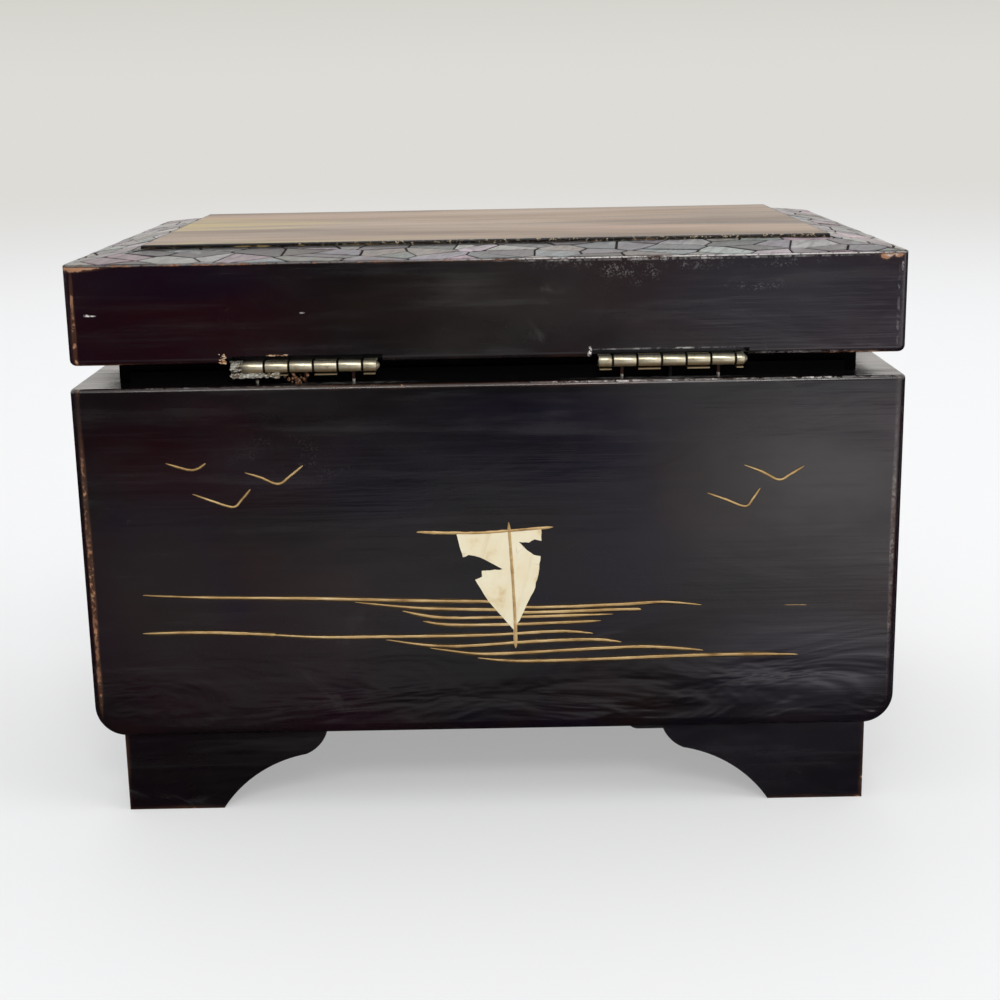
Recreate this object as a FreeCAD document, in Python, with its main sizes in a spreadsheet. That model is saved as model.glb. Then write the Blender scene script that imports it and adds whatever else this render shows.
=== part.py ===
import FreeCAD, Part
import math
import os
import re
import Sketcher
from FreeCAD import Placement, Rotation, Vector

# Musical jewelry box in black lacquer, back side towards +Y, drawers towards -Y, feet on z = 0.
# The origin lies under the middle of the whole box, knobs included.

doc = FreeCAD.newDocument("musical_jewelry_box")
X_AXIS = Vector(1, 0, 0)
Y_AXIS = Vector(0, 1, 0)
Z_AXIS = Vector(0, 0, 1)
SIDES = (("left", -1), ("right", 1))
DRIVE_TEETH = 32
CYLINDER_PINION_TEETH = 16
WHEEL_TEETH = 40
GOVERNOR_PINION_TEETH = 10
FLY_PINION_TEETH = 8
# directions from the cylinder to the governor and from the governor to the fly, degrees above +y
GOVERNOR_DIRECTION = 20
FLY_DIRECTION = 60
MIDDLE_KNUCKLES = 5
TINES = 18
CUSHION_ROLLS = 5
# a gear tooth: its ends below and above the pitch circle in modules, its half widths in half pitches
TOOTH_ROOT = 1.15
TOOTH_TIP = 0.8
TOOTH_ROOT_HALF = 0.62
TOOTH_TIP_HALF = 0.24
# angles that spread the notes round the music cylinder, degrees
FIRST_NOTE = 40
TINE_STEP = 137.5
REPEAT_STEP = 163
NOTES_PER_TINE = 2
# places of three nails or screws as shares of the length that they hold
THREE_ALONG = ("(1 / 6)", "(1 / 2)", "(5 / 6)")

# Driving dimensions in millimetres: name, value, meaning
DIMENSIONS = [
    ("case_width", 242.0, "case, side to side"),
    ("case_depth", 164.0, "case, front to back"),
    ("case_height", 107.1, "case body without feet"),
    ("foot_height", 24.5, "bracket feet"),
    ("wall", 12.5, "case boards"),
    ("corner_radius", 3.5, "upright corners and lower front and back edges"),
    ("rim_radius", 1.3, "outer edge of the rim"),
    ("belly_radius", 9.5, "lower side edges"),
    ("bottom_thickness", 8.0, "bottom board"),
    ("drawer_space", 50.0, "height of the drawer openings"),
    ("floor_thickness", 4.0, "tray floor"),
    ("bay_depth", 45.0, "movement bay, front to back"),
    ("partition_thickness", 4.0, "board between drawers and movement"),
    ("divider_thickness", 7.0, "board between the two drawers"),
    ("liner_thickness", 4.0, "inner frame round the tray"),
    ("liner_rise", 9.0, "inner frame above the rim"),
    ("ledge_width", 4.0, "step of the back liner under the hinge leaves"),
    ("foot_length", 61.6, "foot board at its top"),
    ("foot_toe", 29.0, "foot board on the ground"),
    ("foot_board", 9.0, "foot board thickness"),
    ("foot_side_inset", 8.4, "feet behind the case sides"),
    ("foot_back_inset", 3.0, "feet behind the case back and front"),
    ("lobe_reach", 6.6, "length of the convex end of the foot board"),
    ("lobe_drop", 7.3, "height of the convex end of the foot board"),
    ("lobe_bulge", 1.1, "rise of the lobe's arc over its chord"),
    ("cove_sag", 3.2, "hollow of the cove's arc over its chord"),
    ("lid_inset", 0.6, "lid behind the case sides"),
    ("lid_fit", 0.4, "room between lid rails and liner"),
    ("lid_side_height", 29.1, "lid from its underside to its top edge"),
    ("lid_corner_radius", 2.5, "upright lid corners"),
    ("lid_edge_radius", 1.8, "lower outer edge of the lid"),
    ("lid_board", 6.0, "lid top board at its edge"),
    ("bevel_width", 19.0, "sloping margin of the lid"),
    ("bevel_rise", 2.7, "height gained over the margin"),
    ("shell_thickness", 0.8, "shell mosaic layer"),
    ("panel_thickness", 1.7, "raised centre panel"),
    ("rest_gap", 0.2, "room between liner top and lid lining"),
    ("lid_lining_thickness", 5.0, "velvet board in the lid"),
    ("mirror_margin", 17.0, "velvet margin round the mirror"),
    ("mirror_thickness", 2.5, "mirror glass"),
    ("hinge_inset", 4.0, "hinge axis from the case back"),
    ("hinge_rise", 5.1, "hinge axis above the rim"),
    ("hinge_start", 32.1, "inner end of a barrel from the middle"),
    ("barrel_radius", 1.7, "hinge knuckles"),
    ("hinge_pin_radius", 0.7, "hinge pins"),
    ("running_fit", 0.05, "radial room round pins and shafts"),
    ("leaf_thickness", 0.8, "hinge leaves"),
    ("knuckle_length", 7.1, "middle knuckles"),
    ("first_knuckle", 4.1, "knuckle next to the middle of the box"),
    ("last_knuckle", 2.6, "outermost knuckle"),
    ("knuckle_gap", 0.15, "slit between knuckles"),
    ("knuckle_room", 0.3, "leaf edge clear of the other leaf's knuckles"),
    ("leaf_seat", 0.2, "upper hinge leaves let into the lid"),
    ("notch_start", 30.1, "hinge notch from the middle"),
    ("notch_length", 45.2, "hinge notch"),
    ("notch_depth", 2.2, "hinge notch into the lid rail, over the knuckles"),
    ("nail_radius", 0.5, "hinge nail shanks"),
    ("nail_head_radius", 1.1, "hinge nail heads"),
    ("nail_head", 0.5, "hinge nail head height"),
    ("nail_bite", 6.0, "nail length in the wood"),
    ("nail_setback", 3.2, "lower nails in front of the hinge axis"),
    ("upper_nail_setback", 5.0, "upper nails in front of the hinge axis"),
    ("wood_fit", 0.05, "radial room round nails and screws"),
    ("drawer_fit", 0.4, "room round a drawer"),
    ("drawer_front", 9.0, "drawer front board"),
    ("drawer_wall", 5.0, "drawer sides and back"),
    ("drawer_drop", 6.0, "drawer walls below the front's top"),
    ("drawer_board", 3.0, "drawer bottom"),
    ("drawer_end_room", 2.0, "room behind a closed drawer"),
    ("felt", 1.2, "drawer lining"),
    ("felt_drop", 3.0, "drawer lining below the walls' top"),
    ("knob_reach", 11.0, "knob in front of the drawer"),
    ("knob_radius", 5.5, "knob head"),
    ("knob_neck", 2.6, "knob neck radius"),
    ("knob_base", 4.2, "knob base radius"),
    ("knob_base_height", 1.6, "knob base"),
    ("knob_head_height", 6.0, "knob head along its axis"),
    ("knob_flat", 3.0, "flat middle of the knob head, radius"),
    ("knob_crown", 2.7, "widest part of the knob behind its face"),
    ("knob_round", 0.6, "rise of the head's arcs over their chords"),
    ("knob_stem", 1.8, "stem in the drawer front, radius"),
    ("knob_stem_length", 7.0, "stem in the drawer front"),
    ("velvet", 1.5, "tray lining"),
    ("velvet_drop", 6.0, "tray lining below the liner's top"),
    ("tray_divider_thickness", 4.0, "velvet divider in the tray"),
    ("tray_divider_height", 32.0, "velvet divider in the tray"),
    ("cushion_width", 64.0, "ring cushion, side to side"),
    ("cushion_height", 24.0, "ring cushion"),
    ("cushion_room", 1.0, "ring cushion clear of the lining"),
    ("cushion_slot", 3.0, "width of the slots between the rolls"),
    ("cushion_base", 6.0, "height of the pad under the slots"),
    ("cushion_crown", 8.5, "rise of a roll's crown over its shoulders"),
    ("movement_inset", 18.0, "bedplate clear of the left case side"),
    ("bedplate_length", 55.0, "bedplate, side to side"),
    ("bedplate_width", 40.0, "bedplate, front to back"),
    ("bedplate_thickness", 2.2, "bedplate"),
    ("spring_offset", 11.0, "winding arbor from the bedplate's middle"),
    ("train_setback", 1.0, "cylinder and arbor in front of the bedplate's middle"),
    ("housing_radius", 13.0, "spring housing"),
    ("housing_height", 8.0, "spring housing"),
    ("housing_wall", 0.8, "spring housing sheet"),
    ("arbor_radius", 2.5, "winding arbor"),
    ("thread_fit", 0.02, "radial room in a screwed or pressed seat"),
    ("strip_thickness", 0.4, "mainspring strip"),
    ("strip_pitch", 1.5, "step from one turn of the mainspring to the next"),
    ("strip_turns", 5.0, "turns of the mainspring"),
    ("strip_start", 3.6, "innermost radius of the mainspring"),
    ("strip_edge_room", 0.5, "mainspring clear of bedplate and housing top"),
    ("crown_lift", 0.4, "drive wheel above the housing"),
    ("crown_disc", 1.2, "drive wheel disc"),
    ("hub_wall", 1.5, "drive wheel hub"),
    ("crown_module", 0.75, "tooth size of the drive wheel"),
    ("crown_root", 0.825, "drive wheel's disc below its pitch plane"),
    ("train_room", 1.0, "room between neighbours along the train"),
    ("train_module", 0.4, "tooth size of the governor train"),
    ("wheel_width", 1.2, "governor train wheels"),
    ("pinion_width", 1.8, "governor train pinions"),
    ("crown_face", 3.0, "length of the drive wheel's teeth"),
    ("tooth_end", 0.2, "teeth short of their face's ends"),
    ("cylinder_radius", 6.25, "music cylinder"),
    ("cylinder_length", 16.0, "music cylinder"),
    ("cylinder_shaft", 0.8, "cylinder arbor radius"),
    ("pin_height", 0.6, "cylinder pins"),
    ("pin_radius", 0.18, "cylinder pins"),
    ("comb_thickness", 1.0, "comb plate"),
    ("comb_seat", 5.0, "comb on its base, front to back"),
    ("comb_margin", 0.7, "comb beyond the cylinder's ends"),
    ("tine_gap", 0.25, "slit between tines"),
    ("tine_room", 0.2, "tine tips from the pins"),
    ("comb_screw_radius", 1.0, "comb screws"),
    ("comb_screw_head", 1.7, "comb screw heads, radius"),
    ("comb_screw_bite", 5.0, "comb screws below the comb"),
    ("governor_shaft", 0.6, "governor and fly arbor radius"),
    ("plate_thickness", 1.2, "governor frame"),
    ("governor_span", 12.6, "governor frame, outer face to outer plate"),
    ("governor_flange", 5.0, "foot of the governor frame"),
    ("frame_cap", 1.7, "governor frame above the fly's arbor"),
    ("frame_edge", 1.9, "governor frame beside the governor's arbor"),
    ("frame_heel", 3.0, "governor frame beside the cylinder's arbor"),
    ("frame_setback", 2.5, "governor frame from the bedplate's back edge"),
    ("post_thickness", 2.0, "bearing post of the cylinder"),
    ("post_width", 8.0, "bearing post of the cylinder"),
    ("post_cap", 3.0, "bearing post above the arbor's middle"),
    ("brake_width", 0.8, "brake disc of the fly"),
    ("screw_edge", 4.0, "movement screws from the bedplate's edges"),
    ("fly_radius", 4.5, "fly wings"),
    ("fly_length", 5.5, "fly wings along the arbor"),
    ("fly_sheet", 0.4, "fly wings"),
    ("brake_radius", 2.4, "brake disc of the fly"),
    ("brake_room", 0.3, "stop rod's foot above the brake disc"),
    ("screw_radius", 1.5, "movement screws"),
    ("screw_head_radius", 3.0, "movement screw heads"),
    ("screw_head", 1.6, "movement screw head height"),
    ("rod_radius", 1.2, "stop rod"),
    ("rod_inset", 10.5, "stop rod's middle from the left case side"),
    ("rod_room", 0.4, "radial room round the stop rod"),
    ("rod_foot_radius", 0.9, "foot of the stop rod"),
    ("rod_heel", 1.0, "stop rod below its foot"),
    ("rod_top_gap", 0.3, "stop rod below the lid lining"),
    ("arbor_hole_radius", 4.5, "hole for the arbor in the bottom board"),
    ("key_shank_radius", 3.6, "winding key shank"),
    ("key_shank", 5.0, "winding key shank length"),
    ("key_floor", 1.0, "closed end of the key's bore"),
    ("key_overlap", 1.5, "key wings on the shank"),
    ("arbor_head", 1.5, "arbor above the drive wheel's disc"),
    ("key_drop", 1.5, "key below the bottom board"),
    ("key_grip_width", 19.0, "winding key wings"),
    ("key_grip_height", 8.5, "winding key wings"),
    ("key_grip_thickness", 2.4, "winding key wings"),
    ("key_grip_radius", 4.0, "winding key wing corners"),
]

# Places worked out from the driving dimensions: name, formula
PLACES = [
    ("side_x", "case_width / 2"),
    ("back_y", "(case_depth + knob_reach) / 2"),
    ("front_y", "back_y - case_depth"),
    ("inner_x", "side_x - wall"),
    ("movement_x", "movement_inset + bedplate_length / 2 - inner_x"),
    ("rod_x", "inner_x - rod_inset"),
    ("inner_back_y", "back_y - wall"),
    ("inner_front_y", "front_y + wall"),
    ("rim_z", "foot_height + case_height"),
    ("bay_z", "foot_height + bottom_thickness"),
    ("floor_under_z", "bay_z + drawer_space"),
    ("floor_z", "floor_under_z + floor_thickness"),
    ("partition_back_y", "inner_back_y - bay_depth"),
    ("partition_front_y", "partition_back_y - partition_thickness"),
    ("tray_x", "inner_x - liner_thickness"),
    ("tray_back_y", "inner_back_y - liner_thickness"),
    ("tray_front_y", "inner_front_y + liner_thickness"),
    ("liner_top_z", "rim_z + liner_rise"),
    ("lid_x", "side_x - lid_inset"),
    ("lid_back_y", "back_y - lid_inset"),
    ("lid_front_y", "front_y + lid_inset"),
    ("lid_rail", "wall - lid_inset - lid_fit"),
    ("axis_y", "back_y - hinge_inset"),
    ("axis_z", "rim_z + hinge_rise"),
    ("lower_leaf_z", "axis_z - barrel_radius"),
    ("upper_leaf_z", "axis_z + barrel_radius - leaf_thickness"),
    ("leaf_edge_y", "axis_y - barrel_radius - knuckle_room"),
    ("lid_z", "axis_z + barrel_radius - leaf_seat"),
    ("lid_edge_z", "lid_z + lid_side_height"),
    ("lid_board_z", "lid_edge_z - shell_thickness - lid_board"),
    ("lid_inner_x", "lid_x - lid_rail"),
    ("lid_inner_back_y", "lid_back_y - lid_rail"),
    ("lid_inner_front_y", "lid_front_y + lid_rail"),
    ("lining_z", "liner_top_z + rest_gap"),
    ("barrel_length", f"first_knuckle + {MIDDLE_KNUCKLES} * knuckle_length + last_knuckle"),
    ("drawer_low_z", "bay_z + drawer_fit"),
    ("drawer_width", "inner_x - divider_thickness / 2 - 2 * drawer_fit"),
    ("drawer_height", "drawer_space - 2 * drawer_fit"),
    ("drawer_middle", "(inner_x + divider_thickness / 2) / 2"),
    ("drawer_back_y", "partition_front_y - drawer_end_room"),
    ("drawer_box_height", "drawer_height - drawer_drop"),
    ("movement_y", "inner_back_y - bay_depth / 2"),
    ("bed_z", "bay_z + bedplate_thickness"),
    ("arbor_x", "movement_x + spring_offset"),
    ("train_y", "movement_y - train_setback"),
    ("crown_z", "bed_z + housing_height + crown_lift"),
    ("crown_radius", f"{DRIVE_TEETH} * crown_module / 2"),
    ("crown_pitch_z", "crown_z + crown_disc + crown_root"),
    ("cylinder_z", f"crown_pitch_z + {CYLINDER_PINION_TEETH} * crown_module / 2"),
    ("cylinder_x", "arbor_x - crown_radius - crown_face / 2 - train_room"),
    ("cylinder_end_x", "cylinder_x - cylinder_length"),
    ("wheel_x", "cylinder_end_x - train_room - wheel_width"),
    ("governor_wheel_x", "wheel_x - train_room - wheel_width"),
    ("governor_plate_x", "governor_wheel_x - train_room - plate_thickness"),
    ("governor_reach", f"{WHEEL_TEETH + GOVERNOR_PINION_TEETH} * train_module / 2"),
    ("fly_reach", f"{WHEEL_TEETH + FLY_PINION_TEETH} * train_module / 2"),
    ("governor_y", f"train_y + governor_reach * cos({GOVERNOR_DIRECTION} deg)"),
    ("governor_z", f"cylinder_z + governor_reach * sin({GOVERNOR_DIRECTION} deg)"),
    ("fly_y", f"governor_y + fly_reach * cos({FLY_DIRECTION} deg)"),
    ("fly_z", f"governor_z + fly_reach * sin({FLY_DIRECTION} deg)"),
    ("comb_y", "train_y - cylinder_radius - pin_height - tine_room"),
    ("comb_front_y", "movement_y - bedplate_width / 2"),
    ("comb_z", "cylinder_z - comb_thickness / 2"),
    ("foot_z", "fly_z + brake_radius + brake_room"),
]


def fill_sheets():
    """Put the driving dimensions in one sheet and the worked out places in another."""
    dims = doc.addObject("Spreadsheet::Sheet", "dims")
    for row, (name, value, meaning) in enumerate(DIMENSIONS, start=1):
        dims.set(f"A{row}", name)
        dims.set(f"B{row}", str(value))
        dims.setAlias(f"B{row}", name)
        dims.set(f"C{row}", meaning)
    places = doc.addObject("Spreadsheet::Sheet", "places")
    for row, (name, formula) in enumerate(PLACES, start=1):
        places.set(f"A{row}", name)
        places.setAlias(f"B{row}", name)
        places.set(f"B{row}", "=" + formula_of(formula, own="places"))
    doc.recompute()
    return places


def formula_of(text, own=None):
    """Put each name's sheet before it, except in the sheet that holds it."""
    homes = {name: "dims" for name, _, _ in DIMENSIONS}
    homes.update({name: "places" for name, _ in PLACES})

    def with_home(match):
        word = match.group(0)
        if word not in homes or homes[word] == own:
            return word
        return f"{homes[word]}.{word}"

    return re.sub(r"[a-z_]+", with_home, text)


places = fill_sheets()
nodes = []


def size(text):
    """Read a formula's value from the sheets."""
    value = places.evalExpression(formula_of(text))
    return float(getattr(value, "Value", value))


def bind(item, **formulas):
    """Bind properties of an object to formulas."""
    for name, text in formulas.items():
        item.setExpression(name, formula_of(text))
    return item


def move(item, x, y, z):
    """Bind an object's place to formulas."""
    for axis, text in zip("xyz", (x, y, z)):
        item.setExpression(f"Placement.Base.{axis}", formula_of(text))
    return item


def box(name, length, width, height, corner):
    item = doc.addObject("Part::Box", name)
    bind(item, Length=length, Width=width, Height=height)
    return move(item, *corner)


def cylinder(name, radius, height, base, axis=Z_AXIS):
    item = doc.addObject("Part::Cylinder", name)
    item.Placement = Placement(Vector(), Rotation(Z_AXIS, axis))
    bind(item, Radius=radius, Height=height)
    return move(item, *base)


def fuse(name, *parts):
    item = doc.addObject("Part::MultiFuse", name)
    item.Shapes = list(parts)
    return item


def group(name, *parts):
    item = doc.addObject("Part::Compound", name)
    item.Links = list(parts)
    return item


def common(name, first, second):
    item = doc.addObject("Part::Common", name)
    item.Base = first
    item.Tool = second
    return item


def cut(name, base, *tools):
    item = doc.addObject("Part::Cut", name)
    item.Base = base
    item.Tool = tools[0] if len(tools) == 1 else group(name + "_tools", *tools)
    return item


def solid(name, shape):
    """Hold a shape that neither a body nor a primitive can make."""
    item = doc.addObject("Part::Feature", name)
    item.Shape = shape
    return item


def node(item, name):
    """Register an object as a sub-part that is written out."""
    item.Label = name
    nodes.append(item)
    return item


def new_body(name):
    return doc.addObject("PartDesign::Body", name)


def new_sketch(body, name, role):
    """Start a sketch on one of the body's own origin planes."""
    plane = next(f for f in body.Origin.OriginFeatures if f.Role == role)
    sketch = body.newObject("Sketcher::SketchObject", name)
    sketch.AttachmentSupport = [(plane, "")]
    sketch.MapMode = "FlatFace"
    return sketch


def outline(sketch, points, closed=True):
    """Draw straight edges through the points and return the curves' numbers."""
    ends = list(zip(points, points[1:] + points[:1])) if closed else list(zip(points, points[1:]))
    return [sketch.addGeometry(Part.LineSegment(Vector(*a, 0), Vector(*b, 0))) for a, b in ends]


def pin_down(sketch, curve, end, x, y):
    """Bind one end of a sketch curve to formulas for its place."""
    for kind, text in (("DistanceX", x), ("DistanceY", y)):
        number = sketch.addConstraint(Sketcher.Constraint(kind, -1, 1, curve, end, size(text)))
        sketch.setExpression(f"Constraints[{number}]", formula_of(text))


def sketched_rectangle(body, name, role, low, high):
    """Draw a rectangle between two corners that are given as formulas."""
    sketch = new_sketch(body, name, role)
    (low_x, low_y), (high_x, high_y) = low, high
    corners = [(low_x, low_y), (high_x, low_y), (high_x, high_y), (low_x, high_y)]
    lines = outline(sketch, [(size(x), size(y)) for x, y in corners])
    for line, (x, y) in zip(lines, corners):
        pin_down(sketch, line, 1, x, y)
        following = lines[(lines.index(line) + 1) % 4]
        sketch.addConstraint(Sketcher.Constraint("Coincident", line, 2, following, 1))
    return sketch


def pad(body, sketch, name, length, midplane=False):
    feature = body.newObject("PartDesign::Pad", name)
    feature.Profile = sketch
    feature.SideType = "Symmetric" if midplane else "One side"
    feature.setExpression("Length", formula_of(length))
    doc.recompute()
    return feature


def round_edges(body, feature, name, radius, wanted):
    """Fillet the edges whose middle points the test accepts."""
    picked = []
    for number, edge in enumerate(feature.Shape.Edges, start=1):
        middle = edge.valueAt((edge.FirstParameter + edge.LastParameter) / 2)
        if wanted(middle, edge):
            picked.append(f"Edge{number}")
    fillet = body.newObject("PartDesign::Fillet", name)
    fillet.Base = (feature, picked)
    fillet.setExpression("Radius", formula_of(radius))
    doc.recompute()
    return fillet


def near(a, b):
    return abs(a - b) < 1e-4


def make_case_form():
    """Whole outer form of the case, which each case board is cut from."""
    body = new_body("case_form")
    sketch = sketched_rectangle(body, "case_outline", "XZ_Plane",
                                ("-side_x", "foot_height"), ("side_x", "rim_z"))
    block = pad(body, sketch, "case_block", "case_depth", midplane=True)
    # the pad is centred on y = 0; the body is moved so that its back meets back_y
    move(body, "0", "back_y - case_depth / 2", "0")
    half_width = size("side_x")
    half_depth = size("case_depth / 2")
    low, high = size("foot_height"), size("rim_z")
    belly = round_edges(body, block, "belly_edges", "belly_radius",
                        lambda p, e: near(p.z, low) and near(abs(p.x), half_width))
    corners = round_edges(body, belly, "corner_edges", "corner_radius",
                          lambda p, e: near(abs(p.y), half_depth) and not near(p.z, high))
    round_edges(body, corners, "rim_edges", "rim_radius", lambda p, e: near(p.z, high))
    return body


def make_case():
    form = make_case_form()
    inner_width = "2 * inner_x"
    for side, sign in SIDES:
        edge = "inner_x" if sign > 0 else "-side_x"
        blank = box(f"case_{side}_blank", "wall", "case_depth", "case_height",
                    (edge, "front_y", "foot_height"))
        node(common(f"case_{side}_board", form, blank), f"case_{side}")

    blank = box("case_back_blank", inner_width, "wall", "case_height",
                ("-inner_x", "inner_back_y", "foot_height"))
    back = common("case_back_plain", form, blank)
    node(cut("case_back_board", back, case_nails("case_nail_holes", "wood_fit")), "case_back")

    blank = box("case_bottom_blank", inner_width, "case_depth - wall", "bottom_thickness",
                ("-inner_x", "front_y", "foot_height"))
    bottom = common("case_bottom_plain", form, blank)
    arbor_hole = cylinder("arbor_hole", "arbor_hole_radius", "bottom_thickness",
                          ("arbor_x", "train_y", "foot_height"))
    node(cut("case_bottom_board", bottom, arbor_hole, *movement_screw_shanks("bottom_hole", "wood_fit")),
         "case_bottom")

    blank = box("front_rail_blank", inner_width, "wall", "rim_z - floor_under_z",
                ("-inner_x", "front_y", "floor_under_z"))
    node(common("front_rail_board", form, blank), "case_front_rail")

    divider = box("divider_board", "divider_thickness", "partition_front_y - front_y", "drawer_space",
                  ("-divider_thickness / 2", "front_y", "bay_z"))
    node(divider, "drawer_divider")
    partition = box("partition_board", inner_width, "partition_thickness", "drawer_space",
                    ("-inner_x", "partition_front_y", "bay_z"))
    node(partition, "movement_partition")

    board = box("floor_board", inner_width, "inner_back_y - inner_front_y", "floor_thickness",
                ("-inner_x", "inner_front_y", "floor_under_z"))
    rod_hole = cylinder("floor_rod_hole", "rod_radius + rod_room", "floor_thickness",
                        ("-rod_x", "fly_y", "floor_under_z"))
    node(cut("tray_floor_board", board, rod_hole), "tray_floor")


def make_liner():
    """Raised inner frame that the lid fits over; its back strip has a ledge for the hinge leaves."""
    height = "liner_top_z - floor_z"
    for side, sign in SIDES:
        edge = "tray_x" if sign > 0 else "-inner_x"
        strip = box(f"liner_{side}_strip", "liner_thickness", "inner_back_y - inner_front_y", height,
                    (edge, "inner_front_y", "floor_z"))
        node(strip, f"liner_{side}")
    front = box("liner_front_strip", "2 * tray_x", "liner_thickness", height,
                ("-tray_x", "inner_front_y", "floor_z"))
    node(front, "liner_front")
    strip = box("liner_back_strip", "2 * tray_x", "liner_thickness", height,
                ("-tray_x", "tray_back_y", "floor_z"))
    ledge = box("hinge_ledge", "2 * tray_x", "ledge_width", "lower_leaf_z - rim_z",
                ("-tray_x", "inner_back_y", "rim_z"))
    back = fuse("liner_back_whole", strip, ledge)
    node(cut("liner_back_cut", back, case_nails("ledge_nail_holes", "wood_fit")), "liner_back")


def foot_board(name):
    """One bracket board: its mitred outer end at x = 0, its face on y = 0, its top on z = 0."""
    body = new_body(name)
    sketch = new_sketch(body, name + "_outline", "XZ_Plane")
    length, toe, drop = size("foot_length"), size("foot_toe"), size("foot_height")
    joint_x, joint_z = length - size("lobe_reach"), -size("lobe_drop")
    lobe = arc_between((length, 0), (joint_x, joint_z), size("lobe_bulge"))
    cove = arc_between((joint_x, joint_z), (toe, -drop), -size("cove_sag"))
    top, outer, ground = outline(sketch, [(length, 0), (0, 0), (0, -drop), (toe, -drop)], closed=False)
    lobe_curve = sketch.addGeometry(lobe)
    cove_curve = sketch.addGeometry(cove)
    for curve, end, x, z in ((top, 1, "foot_length", "0"), (outer, 1, "0", "0"),
                             (outer, 2, "0", "-foot_height"), (ground, 2, "foot_toe", "-foot_height")):
        pin_down(sketch, curve, end, x, z)
    sketch.addConstraint(Sketcher.Constraint("Coincident", top, 2, outer, 1))
    sketch.addConstraint(Sketcher.Constraint("Coincident", outer, 2, ground, 1))
    sketch.addConstraint(Sketcher.Constraint("Block", lobe_curve))
    sketch.addConstraint(Sketcher.Constraint("Block", cove_curve))
    board = pad(body, sketch, name + "_pad", "foot_board")
    mitre = new_sketch(body, name + "_mitre", "XY_Plane")
    reach = size("foot_board")
    outline(mitre, [(0, 0), (0, -2 * reach), (2 * reach, -2 * reach)])
    for curve in range(3):
        mitre.addConstraint(Sketcher.Constraint("Block", curve))
    before = board.Shape.Volume
    pocket = body.newObject("PartDesign::Pocket", name + "_mitre_cut")
    pocket.Profile = mitre
    pocket.Type = "ThroughAll"
    doc.recompute()
    if pocket.Shape.isNull() or near(pocket.Shape.Volume, before):
        pocket.Reversed = True
        doc.recompute()
    return body


def arc_between(start, end, rise):
    """Arc from start to end; a positive rise bulges to the left of the way from start to end."""
    a, b = Vector(*start, 0), Vector(*end, 0)
    along = b - a
    sideways = Vector(-along.y, along.x, 0).normalize()
    middle = (a + b) / 2 + sideways * rise
    return Part.Arc(a, middle, b)


def make_feet():
    """Four feet, each of two mitred boards; the second board of a foot mirrors the first."""
    first = foot_board("foot_board")
    second = doc.addObject("Part::Mirroring", "foot_board_mirrored")
    second.Source = first
    second.Base = Vector(0, 0, 0)
    second.Normal = Vector(1, 1, 0)
    corners = (("foot_back_left", -1, "back_y - foot_back_inset", 0),
               ("foot_front_left", -1, "front_y + foot_back_inset", 90),
               ("foot_front_right", 1, "front_y + foot_back_inset", 180),
               ("foot_back_right", 1, "back_y - foot_back_inset", 270))
    for name, sign, y, turn in corners:
        foot = group(name + "_boards", first, second)
        foot.Placement = Placement(Vector(), Rotation(Z_AXIS, turn))
        x = "side_x - foot_side_inset" if sign > 0 else "foot_side_inset - side_x"
        move(foot, x, y, "foot_height")
        node(foot, name)


def make_lid_form():
    """Whole outer form of the lid below its shell layer."""
    body = new_body("lid_form")
    sketch = sketched_rectangle(body, "lid_outline", "XY_Plane",
                                ("-lid_x", "lid_front_y"), ("lid_x", "lid_back_y"))
    block = pad(body, sketch, "lid_block", "lid_side_height - shell_thickness")
    move(body, "0", "0", "lid_z")
    round_corners = round_edges(body, block, "lid_corners", "lid_corner_radius",
                                lambda p, e: 1e-3 < p.z < size("lid_side_height") - 1)
    round_edges(body, round_corners, "lid_lower_edges", "lid_edge_radius", lambda p, e: near(p.z, 0))
    return body


def frustum(name, z, height):
    """Bevelled top of the lid: a low pyramid cut off at the centre panel's outline."""
    item = doc.addObject("Part::Wedge", name)
    item.Placement = Placement(Vector(), Rotation(X_AXIS, 90))
    bind(item, Xmin="-lid_x", Xmax="lid_x", Zmin="-lid_back_y", Zmax="-lid_front_y",
         X2min="bevel_width - lid_x", X2max="lid_x - bevel_width",
         Z2min="bevel_width - lid_back_y", Z2max="-lid_front_y - bevel_width",
         Ymin="0", Ymax=height)
    return move(item, "0", "0", z)


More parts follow.
